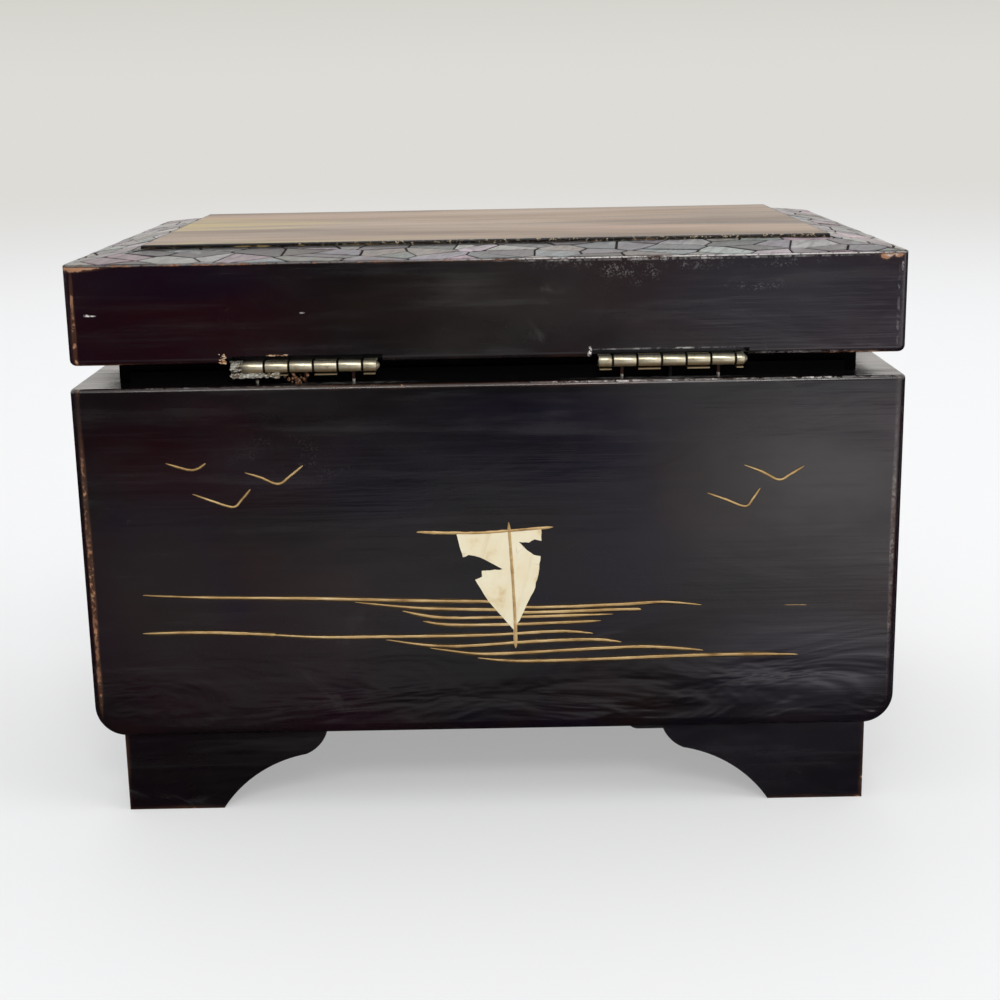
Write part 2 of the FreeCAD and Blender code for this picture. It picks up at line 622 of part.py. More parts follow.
def make_lid():
    form = make_lid_form()
    rail_height = "lid_board_z - lid_z"
    for side, sign in SIDES:
        edge = "lid_inner_x" if sign > 0 else "-lid_x"
        blank = box(f"lid_{side}_blank", "lid_rail", "lid_back_y - lid_front_y", rail_height,
                    (edge, "lid_front_y", "lid_z"))
        node(common(f"lid_{side}_rail_board", form, blank), f"lid_{side}_rail")
    blank = box("lid_front_blank", "2 * lid_inner_x", "lid_rail", rail_height,
                ("-lid_inner_x", "lid_front_y", "lid_z"))
    node(common("lid_front_rail_board", form, blank), "lid_front_rail")
    blank = box("lid_back_blank", "2 * lid_inner_x", "lid_rail", rail_height,
                ("-lid_inner_x", "lid_inner_back_y", "lid_z"))
    notches = []
    for side, sign in SIDES:
        edge = "notch_start" if sign > 0 else "-notch_start - notch_length"
        notches.append(box(f"notch_{side}", "notch_length", "lid_back_y - leaf_edge_y", "notch_depth",
                           (edge, "leaf_edge_y", "lid_z")))
        notches.append(box(f"leaf_seat_{side}", "notch_length", "leaf_edge_y - lid_inner_back_y",
                           "leaf_seat", (edge, "lid_inner_back_y", "lid_z")))
    back = common("lid_back_plain", form, blank)
    node(cut("lid_back_rail_board", back, *notches, lid_nails("lid_nail_holes", "wood_fit")),
         "lid_back_rail")

    blank = box("lid_top_blank", "2 * lid_x", "lid_back_y - lid_front_y", "lid_board",
                ("-lid_x", "lid_front_y", "lid_board_z"))
    edge_board = common("lid_top_edge", form, blank)
    lid_outline = lid_top_outline()
    bevel = common("board_bevel", lid_outline,
                   frustum("board_bevel_whole", "lid_edge_z - shell_thickness", "bevel_rise"))
    node(fuse("lid_top_bevelled", edge_board, bevel), "lid_top_board")

    slab = box("shell_slab", "2 * lid_x", "lid_back_y - lid_front_y", "shell_thickness",
               ("-lid_x", "lid_front_y", "lid_edge_z - shell_thickness"))
    block = fuse("shell_block", slab, frustum("shell_bevel", "lid_edge_z", "bevel_rise"))
    raised = common("shell_outside", lid_outline, block)
    panel_size = ("2 * (lid_x - bevel_width)", "lid_back_y - lid_front_y - 2 * bevel_width")
    panel_corner = ("bevel_width - lid_x", "lid_front_y + bevel_width")
    window = box("shell_window", *panel_size, "bevel_rise + shell_thickness",
                 (*panel_corner, "lid_edge_z - shell_thickness"))
    under = frustum("shell_underside", "lid_edge_z - shell_thickness", "bevel_rise")
    node(cut("shell_ring", raised, under, window), "shell_border")
    node(box("panel_board", *panel_size, "panel_thickness",
             (*panel_corner, "lid_edge_z + bevel_rise - shell_thickness")),
         "lid_panel")

    lining = box("lining_board", "2 * lid_inner_x", "lid_inner_back_y - lid_inner_front_y",
                 "lid_lining_thickness", ("-lid_inner_x", "lid_inner_front_y", "lining_z"))
    mirror_size = ("2 * (lid_inner_x - mirror_margin)",
                   "lid_inner_back_y - lid_inner_front_y - 2 * mirror_margin",
                   "mirror_thickness")
    mirror_corner = ("mirror_margin - lid_inner_x", "lid_inner_front_y + mirror_margin", "lining_z")
    node(cut("lining_cut", lining, box("mirror_recess", *mirror_size, mirror_corner)), "lid_lining")
    node(box("mirror_glass", *mirror_size, mirror_corner), "lid_mirror")


def lid_top_outline():
    """Block over the lid's side height that has the lid's upright corner rounding."""
    slab = box("outline_slab", "2 * lid_x", "lid_back_y - lid_front_y", "shell_thickness + bevel_rise",
               ("-lid_x", "lid_front_y", "lid_edge_z - shell_thickness"))
    rounded = doc.addObject("Part::Fillet", "outline_rounded")
    rounded.Base = slab
    radius = size("lid_corner_radius")
    doc.recompute()
    upright = [n for n, e in enumerate(slab.Shape.Edges, start=1)
               if near(e.Vertexes[0].X, e.Vertexes[1].X) and near(e.Vertexes[0].Y, e.Vertexes[1].Y)]
    rounded.Edges = [(number, radius, radius) for number in upright]
    return rounded


def knuckle_spans():
    """Start, length and owner of a hinge's knuckles, counted from the middle of the box."""
    spans = [("0", "first_knuckle", "lower")]
    for number in range(MIDDLE_KNUCKLES):
        owner = "upper" if number % 2 == 0 else "lower"
        spans.append((f"first_knuckle + {number} * knuckle_length", "knuckle_length", owner))
    spans.append((f"first_knuckle + {MIDDLE_KNUCKLES} * knuckle_length", "last_knuckle", "lower"))
    return spans


def hinge_leaf(side, sign, owner):
    """One leaf: a plate with its tabs and its knuckles, bored for the pin."""
    name = f"hinge_{owner}_{side}"
    parts = []
    for number, (start, length, span_owner) in enumerate(knuckle_spans()):
        if span_owner != owner:
            continue
        low = f"hinge_start + {start} + knuckle_gap / 2"
        x = low if sign > 0 else f"-(hinge_start + {start} + {length} - knuckle_gap / 2)"
        span = f"{length} - knuckle_gap"
        parts.append(cylinder(f"{name}_knuckle_{number}", "barrel_radius", span, (x, "axis_y", "axis_z"),
                              X_AXIS))
        parts.append(box(f"{name}_tab_{number}", span, "axis_y - leaf_edge_y", "leaf_thickness",
                         (x, "leaf_edge_y", f"{owner}_leaf_z")))
    edge = "hinge_start" if sign > 0 else "-hinge_start - barrel_length"
    inner_edge = "inner_back_y + knuckle_room" if owner == "lower" else "lid_inner_back_y + knuckle_room"
    parts.append(box(f"{name}_plate", "barrel_length", f"leaf_edge_y - ({inner_edge})", "leaf_thickness",
                     (edge, inner_edge, f"{owner}_leaf_z")))
    whole = fuse(f"{name}_whole", *parts)
    bore = cylinder(f"{name}_bore", "hinge_pin_radius + running_fit", "barrel_length",
                    (edge, "axis_y", "axis_z"), X_AXIS)
    drive_nails = case_nails if owner == "lower" else lid_nails
    nails = drive_nails(f"{name}_nail_holes", "wood_fit")
    node(cut(f"{name}_leaf", whole, bore, nails), f"hinge_{owner}_leaf_{side}")


def nail_places():
    """Distances of a hinge's three nails from the middle of the box."""
    return [f"hinge_start + barrel_length * {share}" for share in THREE_ALONG]


def case_nails(name, room="0"):
    """Nails of both lower leaves, or with some room their holes."""
    nails = []
    for side, sign in SIDES:
        for number, place in enumerate(nail_places()):
            x = place if sign > 0 else f"-({place})"
            y = "axis_y - nail_setback"
            top = "lower_leaf_z + leaf_thickness"
            length = "lower_leaf_z + leaf_thickness - rim_z + nail_bite"
            shank = cylinder(f"{name}_{side}_{number}", f"nail_radius + {room}", length,
                             (x, y, "rim_z - nail_bite"))
            if room != "0":
                nails.append(shank)
                continue
            head = cylinder(f"{name}_head_{side}_{number}", "nail_head_radius", "nail_head", (x, y, top))
            nails.append(fuse(f"{name}_whole_{side}_{number}", shank, head))
    return group(name, *nails)


def lid_nails(name, room="0"):
    """Nails of both upper leaves, or with some room their holes."""
    nails = []
    for side, sign in SIDES:
        for number, place in enumerate(nail_places()):
            x = place if sign > 0 else f"-({place})"
            y = "axis_y - upper_nail_setback"
            shank = cylinder(f"{name}_{side}_{number}", f"nail_radius + {room}",
                             "leaf_thickness + nail_bite", (x, y, "upper_leaf_z"))
            if room != "0":
                nails.append(shank)
                continue
            head = cylinder(f"{name}_head_{side}_{number}", "nail_head_radius", "nail_head",
                            (x, y, "upper_leaf_z - nail_head"))
            nails.append(fuse(f"{name}_whole_{side}_{number}", shank, head))
    return group(name, *nails)


def make_hinges():
    for side, sign in SIDES:
        for owner in ("upper", "lower"):
            hinge_leaf(side, sign, owner)
        edge = "hinge_start" if sign > 0 else "-hinge_start - barrel_length"
        pin = cylinder(f"pin_{side}", "hinge_pin_radius", "barrel_length", (edge, "axis_y", "axis_z"),
                       X_AXIS)
        node(pin, f"hinge_pin_{side}")
    node(case_nails("case_nails"), "hinge_nails_case")
    node(lid_nails("lid_nails"), "hinge_nails_lid")


def make_drawers():
    for side, sign in SIDES:
        middle = f"{sign} * drawer_middle"
        left = f"{middle} - drawer_width / 2"
        box_y = "front_y + drawer_front"
        box_depth = "drawer_back_y - front_y - drawer_front"
        front = box(f"drawer_front_{side}_blank", "drawer_width", "drawer_front", "drawer_height",
                    (left, "front_y", "drawer_low_z"))
        knob_z = "drawer_low_z + drawer_height / 2"
        stem_hole = cylinder(f"stem_hole_{side}", "knob_stem + wood_fit", "knob_stem_length",
                             (middle, "front_y", knob_z), Y_AXIS)
        node(cut(f"drawer_front_{side}_bored", front, stem_hole), f"drawer_front_{side}")

        walls = []
        for end, x in (("outer", left), ("inner", f"{middle} + drawer_width / 2 - drawer_wall")):
            walls.append(box(f"drawer_{side}_{end}_side", "drawer_wall", box_depth, "drawer_box_height",
                             (x, box_y, "drawer_low_z")))
        walls.append(box(f"drawer_{side}_end", "drawer_width - 2 * drawer_wall", "drawer_wall",
                         "drawer_box_height",
                         (f"{left} + drawer_wall", "drawer_back_y - drawer_wall", "drawer_low_z")))
        node(group(f"drawer_walls_{side}_boards", *walls), f"drawer_walls_{side}")

        inside = (f"{left} + drawer_wall", box_y, "drawer_low_z")
        room = ("drawer_width - 2 * drawer_wall", f"{box_depth} - drawer_wall")
        node(box(f"drawer_bottom_{side}_board", *room, "drawer_board", inside), f"drawer_bottom_{side}")
        felt_height = "drawer_box_height - drawer_board - felt_drop"
        outside = box(f"felt_{side}_outside", *room, felt_height,
                      (inside[0], inside[1], "drawer_low_z + drawer_board"))
        hollow = box(f"felt_{side}_hollow", f"{room[0]} - 2 * felt", f"{room[1]} - 2 * felt", felt_height,
                     (f"{inside[0]} + felt", f"{inside[1]} + felt", "drawer_low_z + drawer_board + felt"))
        node(cut(f"felt_{side}", outside, hollow), f"drawer_lining_{side}")
        node(make_knob(side, middle, knob_z), f"drawer_knob_{side}")


def make_knob(side, x, z):
    """Turned knob on the y axis, its base on y = 0 and its head towards -y."""
    body = new_body(f"knob_{side}")
    sketch = new_sketch(body, f"knob_{side}_profile", "XY_Plane")
    stem, stem_length = "knob_stem", "knob_stem_length"
    head_start = "-(knob_reach - knob_head_height)"
    corners = [("0", stem_length), ("0", "-knob_reach"), ("knob_flat", "-knob_reach"),
               ("knob_radius", "-(knob_reach - knob_crown)"), ("knob_neck", head_start),
               ("knob_neck", "-knob_base_height"), ("knob_base", "-knob_base_height"), ("knob_base", "0"),
               (stem, "0"), (stem, stem_length)]
    points = [Vector(size(a), size(b), 0) for a, b in corners]
    for number, start in enumerate(points):
        end = points[(number + 1) % len(points)]
        if number in (2, 3):
            # the two rounds of the knob's head
            curve = arc_between((start.x, start.y), (end.x, end.y), -size("knob_round"))
        else:
            curve = Part.LineSegment(start, end)
        sketch.addGeometry(curve)
        sketch.addConstraint(Sketcher.Constraint("Block", number))
    turned = body.newObject("PartDesign::Revolution", f"knob_{side}_turned")
    turned.Profile = sketch
    turned.ReferenceAxis = (sketch, ["V_Axis"])
    turned.Angle = 360
    return move(body, x, "front_y", z)


def make_tray():
    height = "liner_top_z - velvet_drop - floor_z"
    depth = "tray_back_y - tray_front_y - 2 * velvet"
    outside = box("velvet_outside", "2 * tray_x", "tray_back_y - tray_front_y", height,
                  ("-tray_x", "tray_front_y", "floor_z"))
    hollow = box("velvet_hollow", "2 * (tray_x - velvet)", depth, height,
                 ("velvet - tray_x", "tray_front_y + velvet", "floor_z + velvet"))
    rod_hole = cylinder("velvet_rod_hole", "rod_radius + rod_room", "velvet", ("-rod_x", "fly_y", "floor_z"))
    node(cut("velvet_tray", outside, hollow, rod_hole), "tray_lining")

    cushion_x = "tray_x - velvet - cushion_room - cushion_width"
    divider_x = f"{cushion_x} - cushion_room - tray_divider_thickness"
    node(box("tray_divider_board", "tray_divider_thickness", depth, "tray_divider_height",
             (divider_x, "tray_front_y + velvet", "floor_z + velvet")),
         "tray_divider")
    node(ring_cushion(cushion_x), "ring_cushion")


def ring_cushion(x):
    """Padded rolls side by side on one base, with a slot for rings between them."""
    depth = size("tray_back_y - tray_front_y - 2 * velvet - 2 * cushion_room")
    slot, low, high = size("cushion_slot"), size("cushion_base"), size("cushion_height")
    width = (depth - slot * (CUSHION_ROLLS - 1)) / CUSHION_ROLLS
    shoulder = high - size("cushion_crown")
    edges = [Part.LineSegment(Vector(0, 0, 0), Vector(0, 0, shoulder)).toShape()]
    for number in range(CUSHION_ROLLS):
        start = number * (width + slot)
        crown = Part.Arc(Vector(0, start, shoulder), Vector(0, start + width / 2, high),
                         Vector(0, start + width, shoulder))
        edges.append(crown.toShape())
        if number < CUSHION_ROLLS - 1:
            corners = [Vector(0, start + width, shoulder), Vector(0, start + width, low),
                       Vector(0, start + width + slot, low), Vector(0, start + width + slot, shoulder)]
            edges.extend(Part.LineSegment(a, b).toShape() for a, b in zip(corners, corners[1:]))
    edges.append(Part.LineSegment(Vector(0, depth, shoulder), Vector(0, depth, 0)).toShape())
    edges.append(Part.LineSegment(Vector(0, depth, 0), Vector(0, 0, 0)).toShape())
    face = Part.Face(Part.Wire(edges))
    cushion = solid("cushion_rolls", face.extrude(Vector(size("cushion_width"), 0, 0)))
    cushion.Placement = Placement(Vector(), Rotation())
    return move(cushion, x, "tray_front_y + velvet + cushion_room", "floor_z + velvet")


def movement_screw_places():
    """Three screws of the bedplate, seen from above."""
    edge = "bedplate_width / 2 - screw_edge"
    return [("movement_x - bedplate_length / 2 + screw_edge", f"movement_y - ({edge})"),
            ("movement_x + bedplate_length / 2 - screw_edge", f"movement_y - ({edge})"),
            ("movement_x", f"movement_y + {edge}")]


def movement_screw_shanks(name, room="0"):
    """Shanks from the case's underside to the bedplate's top, or with some room their holes."""
    length = "bottom_thickness + bedplate_thickness"
    return [cylinder(f"{name}_{number}", f"screw_radius + {room}", length, (x, y, "foot_height"))
            for number, (x, y) in enumerate(movement_screw_places())]


def comb_screw_places():
    """Three screws along the comb."""
    length = "(cylinder_length + 2 * comb_margin)"
    return [f"cylinder_end_x - comb_margin + {length} * {share}" for share in THREE_ALONG]


def comb_screw_shanks(name, room="0"):
    length = "comb_screw_bite + comb_thickness"
    y, z = "comb_front_y + comb_seat / 2", "comb_z - comb_screw_bite"
    return [cylinder(f"{name}_{number}", f"comb_screw_radius + {room}", length, (x, y, z))
            for number, x in enumerate(comb_screw_places())]


def make_bedplate():
    plate = box("bedplate_sheet", "bedplate_length", "bedplate_width", "bedplate_thickness",
                ("movement_x - bedplate_length / 2", "movement_y - bedplate_width / 2", "bay_z"))
    comb_base = box("comb_base", "cylinder_length + 2 * comb_margin", "comb_seat", "comb_z - bed_z",
                    ("cylinder_end_x - comb_margin", "comb_front_y", "bed_z"))
    post_x = "movement_x + bedplate_length / 2 - post_thickness"
    post = box("cylinder_post", "post_thickness", "post_width", "cylinder_z + post_cap - bed_z",
               (post_x, "train_y - post_width / 2", "bed_z"))
    whole = fuse("bedplate_whole", plate, comb_base, post)
    arbor_bore = cylinder("bedplate_arbor_bore", "arbor_radius + running_fit", "bedplate_thickness",
                          ("arbor_x", "train_y", "bay_z"))
    shaft_bore = cylinder("post_bore", "cylinder_shaft + running_fit", "post_thickness",
                          (post_x, "train_y", "cylinder_z"), X_AXIS)
    tools = [arbor_bore, shaft_bore]
    tools += movement_screw_shanks("bedplate_hole", "thread_fit")
    tools += comb_screw_shanks("comb_base_hole", "thread_fit")
    node(cut("bedplate_bored", whole, *tools), "movement_bedplate")


def make_spring():
    """Spring housing, open towards the bedplate, with the mainspring in it."""
    outside = cylinder("housing_outside", "housing_radius", "housing_height",
                       ("arbor_x", "train_y", "bed_z"))
    hollow = cylinder("housing_hollow", "housing_radius - housing_wall", "housing_height - housing_wall",
                      ("arbor_x", "train_y", "bed_z"))
    bore = cylinder("housing_bore", "arbor_radius + running_fit", "housing_height",
                    ("arbor_x", "train_y", "bed_z"))
    node(cut("housing_shell", outside, hollow, bore), "spring_housing")

    room = size("strip_edge_room")
    height = size("housing_height - housing_wall") - 2 * room
    half_turns = round(2 * size("strip_turns"))
    spring = solid("mainspring_strip", spiral_strip(half_turns).extrude(Vector(0, 0, height)))
    spring.Placement = Placement(Vector(), Rotation())
    node(move(spring, "arbor_x", "train_y", "bed_z + strip_edge_room"), "mainspring")


def spiral_strip(half_turns):
    """Flat spiral of half circles, each a half step wider than the one before."""
    step = size("strip_pitch") / 2
    thickness = size("strip_thickness")
    sides = []
    for offset in (0, thickness):
        radius = size("strip_start") + offset
        centre = 0.0
        edges = []
        for number in range(half_turns):
            sign = 1 if number % 2 == 0 else -1
            start = Vector(centre + sign * radius, 0, 0)
            middle = Vector(centre, sign * radius, 0)
            end = Vector(centre - sign * radius, 0, 0)
            edges.append(Part.Arc(start, middle, end).toShape())
            centre += sign * step / 2
            radius += step / 2
        sides.append(edges)
    inner, outer = sides
    caps = [Part.LineSegment(inner[0].Vertexes[0].Point, outer[0].Vertexes[0].Point).toShape(),
            Part.LineSegment(inner[-1].Vertexes[-1].Point, outer[-1].Vertexes[-1].Point).toShape()]
    return Part.Face(Part.Wire(Part.__sortEdges__(inner + outer + caps)))


def gear_face(teeth, module, first_tooth):
    """Flat gear with tapered teeth; first_tooth is the angle of a tooth's middle in degrees."""
    pitch_radius = module * teeth / 2
    root, tip = pitch_radius - TOOTH_ROOT * module, pitch_radius + TOOTH_TIP * module
    half_pitch = math.pi * module / 2
    root_half, tip_half = TOOTH_ROOT_HALF * half_pitch, TOOTH_TIP_HALF * half_pitch
    points = []
    for number in range(teeth):
        angle = math.radians(first_tooth) + 2 * math.pi * number / teeth
        for radius, half in ((root, -root_half), (tip, -tip_half), (tip, tip_half), (root, root_half)):
            along = Vector(math.cos(angle), math.sin(angle), 0)
            across = Vector(-math.sin(angle), math.cos(angle), 0)
            points.append(along * radius + across * half)
    return Part.Face(Part.makePolygon(points + points[:1]))


def cross_gear(teeth, module, width, x, y, z, first_tooth):
    """Gear on an axis along x; angles are measured from +y towards +z."""
    gear = gear_face(teeth, module, first_tooth).extrude(Vector(0, 0, width))
    gear.Placement = Placement(Vector(x, y, z),
                               Rotation(Vector(0, 1, 0), Vector(0, 0, 1), Vector(1, 0, 0), "XYZ"))
    return gear


def cross_disc(radius, width, x, y, z):
    """Round disc or shaft on an axis along x."""
    return Part.makeCylinder(radius, width, Vector(x, y, z), X_AXIS)


def make_drive_wheel():
    """Face wheel on the winding arbor: radial teeth on a disc."""
    module, radius, face = size("crown_module"), size("crown_radius"), size("crown_face")
    z, disc = size("crown_z"), size("crown_disc")
    pitch_z = size("crown_pitch_z")
    outer, inner = radius + face / 2, radius - face / 2
    wheel = Part.makeCylinder(outer, disc, Vector(0, 0, z))
    half_pitch = math.pi * module / 2
    root_half, tip_half = TOOTH_ROOT_HALF * half_pitch, TOOTH_TIP_HALF * half_pitch
    root_z, tip_z = z + disc / 2, pitch_z + TOOTH_TIP * module
    section = [(-root_half, root_z), (root_half, root_z), (tip_half, tip_z), (-tip_half, tip_z)]
    points = [Vector(inner, y, height) for y, height in section]
    length = Vector(face - size("tooth_end"), 0, 0)
    tooth = Part.Face(Part.makePolygon(points + points[:1])).extrude(length)
    ring = []
    for number in range(DRIVE_TEETH):
        turned = tooth.copy()
        turned.rotate(Vector(), Z_AXIS, 360 / DRIVE_TEETH * number)
        ring.append(turned)
    wheel = wheel.multiFuse(ring)
    hub_height = size("crown_disc + arbor_head")
    hub = Part.makeCylinder(size("arbor_radius + hub_wall"), hub_height, Vector(0, 0, z))
    bore = Part.makeCylinder(size("arbor_radius + thread_fit"), hub_height, Vector(0, 0, z))
    wheel = wheel.fuse(hub).cut(bore)
    item = solid("drive_wheel_toothed", wheel)
    item.Placement = Placement(Vector(), Rotation())
    node(move(item, "arbor_x", "train_y", "0"), "drive_wheel")


def make_winding():
    """Arbor through the bottom board, with the key on its lower end."""
    low = "foot_height - key_drop - key_shank + key_floor"
    arbor = cylinder("arbor_bar", "arbor_radius", f"crown_z + crown_disc + arbor_head - ({low})",
                     ("arbor_x", "train_y", low))
    node(arbor, "winding_arbor")

    shank = cylinder("key_shank_bar", "key_shank_radius", "key_shank",
                     ("arbor_x", "train_y", "foot_height - key_drop - key_shank"))
    body = new_body("key_grip")
    sketch = sketched_rectangle(body, "key_grip_outline", "XZ_Plane",
                                ("-key_grip_width / 2", "-key_grip_height"), ("key_grip_width / 2", "0"))
    grip = pad(body, sketch, "key_grip_pad", "key_grip_thickness", midplane=True)
    round_edges(body, grip, "key_grip_corners", "key_grip_radius",
                lambda p, e: near(p.y, 0))
    move(body, "arbor_x", "train_y", "foot_height - key_drop - key_shank + key_overlap")
    bore = cylinder("key_bore", "arbor_radius + thread_fit", "key_shank - key_floor",
                    ("arbor_x", "train_y", low))
    node(cut("key_bored", fuse("key_whole", shank, body), bore), "winding_key")


def make_cylinder():
    """Pinned cylinder with its pinion towards the drive wheel and its wheel towards the governor."""
    y, z = size("train_y"), size("cylinder_z")
    start, length = size("cylinder_end_x"), size("cylinder_length")
    radius, pin_height = size("cylinder_radius"), size("pin_height")
    shaft_start = size("governor_plate_x")
    shaft_end = size("movement_x + bedplate_length / 2")
    parts = [cross_disc(size("cylinder_shaft"), shaft_end - shaft_start, shaft_start, y, z),
             cross_disc(radius, length, start, y, z)]
    width = size("crown_face - 2 * tooth_end")
    pinion_x = size("arbor_x - crown_radius") - width / 2
    # a gap of the pinion points down at a tooth of the drive wheel
    gap_down = 270 + 180 / CYLINDER_PINION_TEETH
    parts.append(cross_gear(CYLINDER_PINION_TEETH, size("crown_module"), width, pinion_x, y, z, gap_down))
    parts.append(cross_gear(WHEEL_TEETH, size("train_module"), size("wheel_width"), size("wheel_x"), y, z,
                            GOVERNOR_DIRECTION))
    for tine in range(TINES):
        x = start + length * (tine + 0.5) / TINES
        for note in range(NOTES_PER_TINE):
            angle = math.radians(FIRST_NOTE + tine * TINE_STEP + note * REPEAT_STEP)
            out = Vector(0, math.cos(angle), math.sin(angle))
            foot = Vector(x, y, z) + out * radius / 2
            parts.append(Part.makeCylinder(size("pin_radius"), radius / 2 + pin_height, foot, out))
    node(solid("cylinder_pinned", parts[0].multiFuse(parts[1:])), "music_cylinder")


def make_comb():
    plate = box("comb_plate", "cylinder_length + 2 * comb_margin", "comb_y - comb_front_y",
                "comb_thickness", ("cylinder_end_x - comb_margin", "comb_front_y", "comb_z"))
    slits = []
    for number in range(TINES - 1):
        x = f"cylinder_end_x + cylinder_length * {number + 1} / {TINES} - tine_gap / 2"
        slits.append(box(f"tine_slit_{number}", "tine_gap", "comb_y - comb_front_y - comb_seat",
                         "comb_thickness", (x, "comb_front_y + comb_seat", "comb_z")))
    node(cut("comb_slit", plate, *slits, *comb_screw_shanks("comb_hole", "thread_fit")), "music_comb")
    heads = [cylinder(f"comb_screw_head_{number}", "comb_screw_head", "comb_thickness",
                      (x, "comb_front_y + comb_seat / 2", "comb_z + comb_thickness"))
             for number, x in enumerate(comb_screw_places())]
    screws = [fuse(f"comb_screw_{number}", shank, head)
              for number, (shank, head) in enumerate(zip(comb_screw_shanks("comb_shank"), heads))]
    node(group("comb_screw_set", *screws), "comb_screws")
    heads = [cylinder(f"movement_screw_head_{number}", "screw_head_radius", "screw_head",
                      (x, y, "foot_height - screw_head"))
             for number, (x, y) in enumerate(movement_screw_places())]
    screws = [fuse(f"movement_screw_{number}", shank, head)
              for number, (shank, head) in enumerate(zip(movement_screw_shanks("movement_shank"), heads))]
    node(group("movement_screw_set", *screws), "movement_screws")


def make_governor():
    """Frame of two upright plates that carry the governor wheel and the fly."""
    height = "fly_z + frame_cap - bed_z"
    back_y = "movement_y + bedplate_width / 2 - frame_setback"
    outer = box("governor_outer_plate", "plate_thickness", f"{back_y} - (train_y - frame_heel)", height,
                ("governor_plate_x", "train_y - frame_heel", "bed_z"))
    near_y = "governor_y - frame_edge"
    inner = box("governor_inner_plate", "plate_thickness", f"{back_y} - ({near_y})", height,
                ("governor_plate_x + governor_span", near_y, "bed_z"))
    flange = box("governor_foot", "governor_span", "governor_flange", "plate_thickness",
                 ("governor_plate_x", f"{back_y} - governor_flange", "bed_z"))
    bores = []
    for name, radius, y, z in (("cylinder", "cylinder_shaft", "train_y", "cylinder_z"),
                               ("governor", "governor_shaft", "governor_y", "governor_z"),
                               ("fly", "governor_shaft", "fly_y", "fly_z")):
        bores.append(cylinder(f"frame_{name}_bore", f"{radius} + running_fit",
                              "governor_span + plate_thickness", ("governor_plate_x", y, z), X_AXIS))
    node(cut("governor_frame_bored", fuse("governor_frame_whole", outer, inner, flange), *bores),
         "governor_frame")

    start, length = size("governor_plate_x"), size("governor_span + plate_thickness")
    shaft, module = size("governor_shaft"), size("train_module")
    pinion, wheel = size("pinion_width"), size("wheel_width")
    overhang = (pinion - wheel) / 2
    y, z = size("governor_y"), size("governor_z")
    # a gap of the pinion faces a tooth of the cylinder's wheel
    parts = [cross_disc(shaft, length, start, y, z),
             cross_gear(GOVERNOR_PINION_TEETH, module, pinion, size("wheel_x") - overhang, y, z,
                        GOVERNOR_DIRECTION + 180 + 180 / GOVERNOR_PINION_TEETH),
             cross_gear(WHEEL_TEETH, module, wheel, size("governor_wheel_x"), y, z, FLY_DIRECTION)]
    node(solid("governor_wheel_toothed", parts[0].multiFuse(parts[1:])), "governor_wheel")

    y, z = size("fly_y"), size("fly_z")
    brake_x = size("wheel_x")
    wing_x = brake_x + size("brake_width + train_room")
    reach, sheet, wing = size("fly_radius"), size("fly_sheet"), size("fly_length")
    blade = Part.makeBox(wing, 2 * reach, sheet, Vector(wing_x, y - reach, z - sheet / 2))
    parts = [cross_disc(shaft, length, start, y, z),
             cross_gear(FLY_PINION_TEETH, module, pinion, size("governor_wheel_x") - overhang, y, z,
                        FLY_DIRECTION + 180 + 180 / FLY_PINION_TEETH),
             cross_disc(size("brake_radius"), size("brake_width"), brake_x, y, z), blade]
    node(solid("fly_bladed", parts[0].multiFuse(parts[1:])), "governor_fly")


def make_stop_rod():
    """Upright rod under the lid lining; its foot lies just above the fly's brake disc."""
    bar_low = "foot_z - rod_heel"
    bar = cylinder("rod_bar", "rod_radius", f"lining_z - rod_top_gap - ({bar_low})",
                   ("-rod_x", "fly_y", bar_low))
    foot = cylinder("rod_foot", "rod_foot_radius", "wheel_x + brake_width + rod_x",
                    ("-rod_x", "fly_y", "foot_z + rod_foot_radius"), X_AXIS)
    node(fuse("rod_whole", bar, foot), "stop_rod")


def check_document():
    """Stop when any object failed or any sub-part is empty, broken or named twice."""
    doc.recompute()
    for item in doc.Objects:
        if "Invalid" in item.State or "Error" in item.State:
            raise RuntimeError(f"{item.Name} is {item.State}")
    for item in nodes:
        if item.Shape.isNull() or not item.Shape.isValid() or not item.Shape.Solids:
            raise RuntimeError(f"{item.Label} has no valid solid")
    labels = [item.Label for item in nodes]
    if len(set(labels)) != len(labels):
        raise RuntimeError("two sub-parts share a name")


def write_parts():
    os.makedirs("parts", exist_ok=True)
    for item in nodes:
        item.Shape.exportStep(f"parts/{item.Label}.step")
    print(len(nodes), "sub-parts")


make_case()
make_liner()
make_feet()
make_lid()
make_hinges()
make_drawers()
make_tray()
make_bedplate()
make_spring()
make_drive_wheel()
make_winding()
make_cylinder()
make_comb()
make_governor()
make_stop_rod()
check_document()
write_parts()
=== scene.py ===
import functools
import math
import random

import bmesh
import bpy
from mathutils import Matrix, Vector, noise
from mathutils.geometry import tessellate_polygon


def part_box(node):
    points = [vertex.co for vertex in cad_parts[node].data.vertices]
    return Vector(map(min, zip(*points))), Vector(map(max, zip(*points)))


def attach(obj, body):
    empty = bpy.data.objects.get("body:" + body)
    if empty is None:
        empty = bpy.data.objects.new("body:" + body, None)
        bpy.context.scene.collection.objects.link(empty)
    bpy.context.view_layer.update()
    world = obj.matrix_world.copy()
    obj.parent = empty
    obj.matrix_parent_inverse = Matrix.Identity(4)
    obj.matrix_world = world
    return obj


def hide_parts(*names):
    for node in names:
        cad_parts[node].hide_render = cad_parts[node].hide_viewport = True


# Musical jewelry box in worn black lacquer. Places are metres in the part's own frame:
# the back of the box looks towards +y, the drawers towards -y, and the feet stand on z = 0.

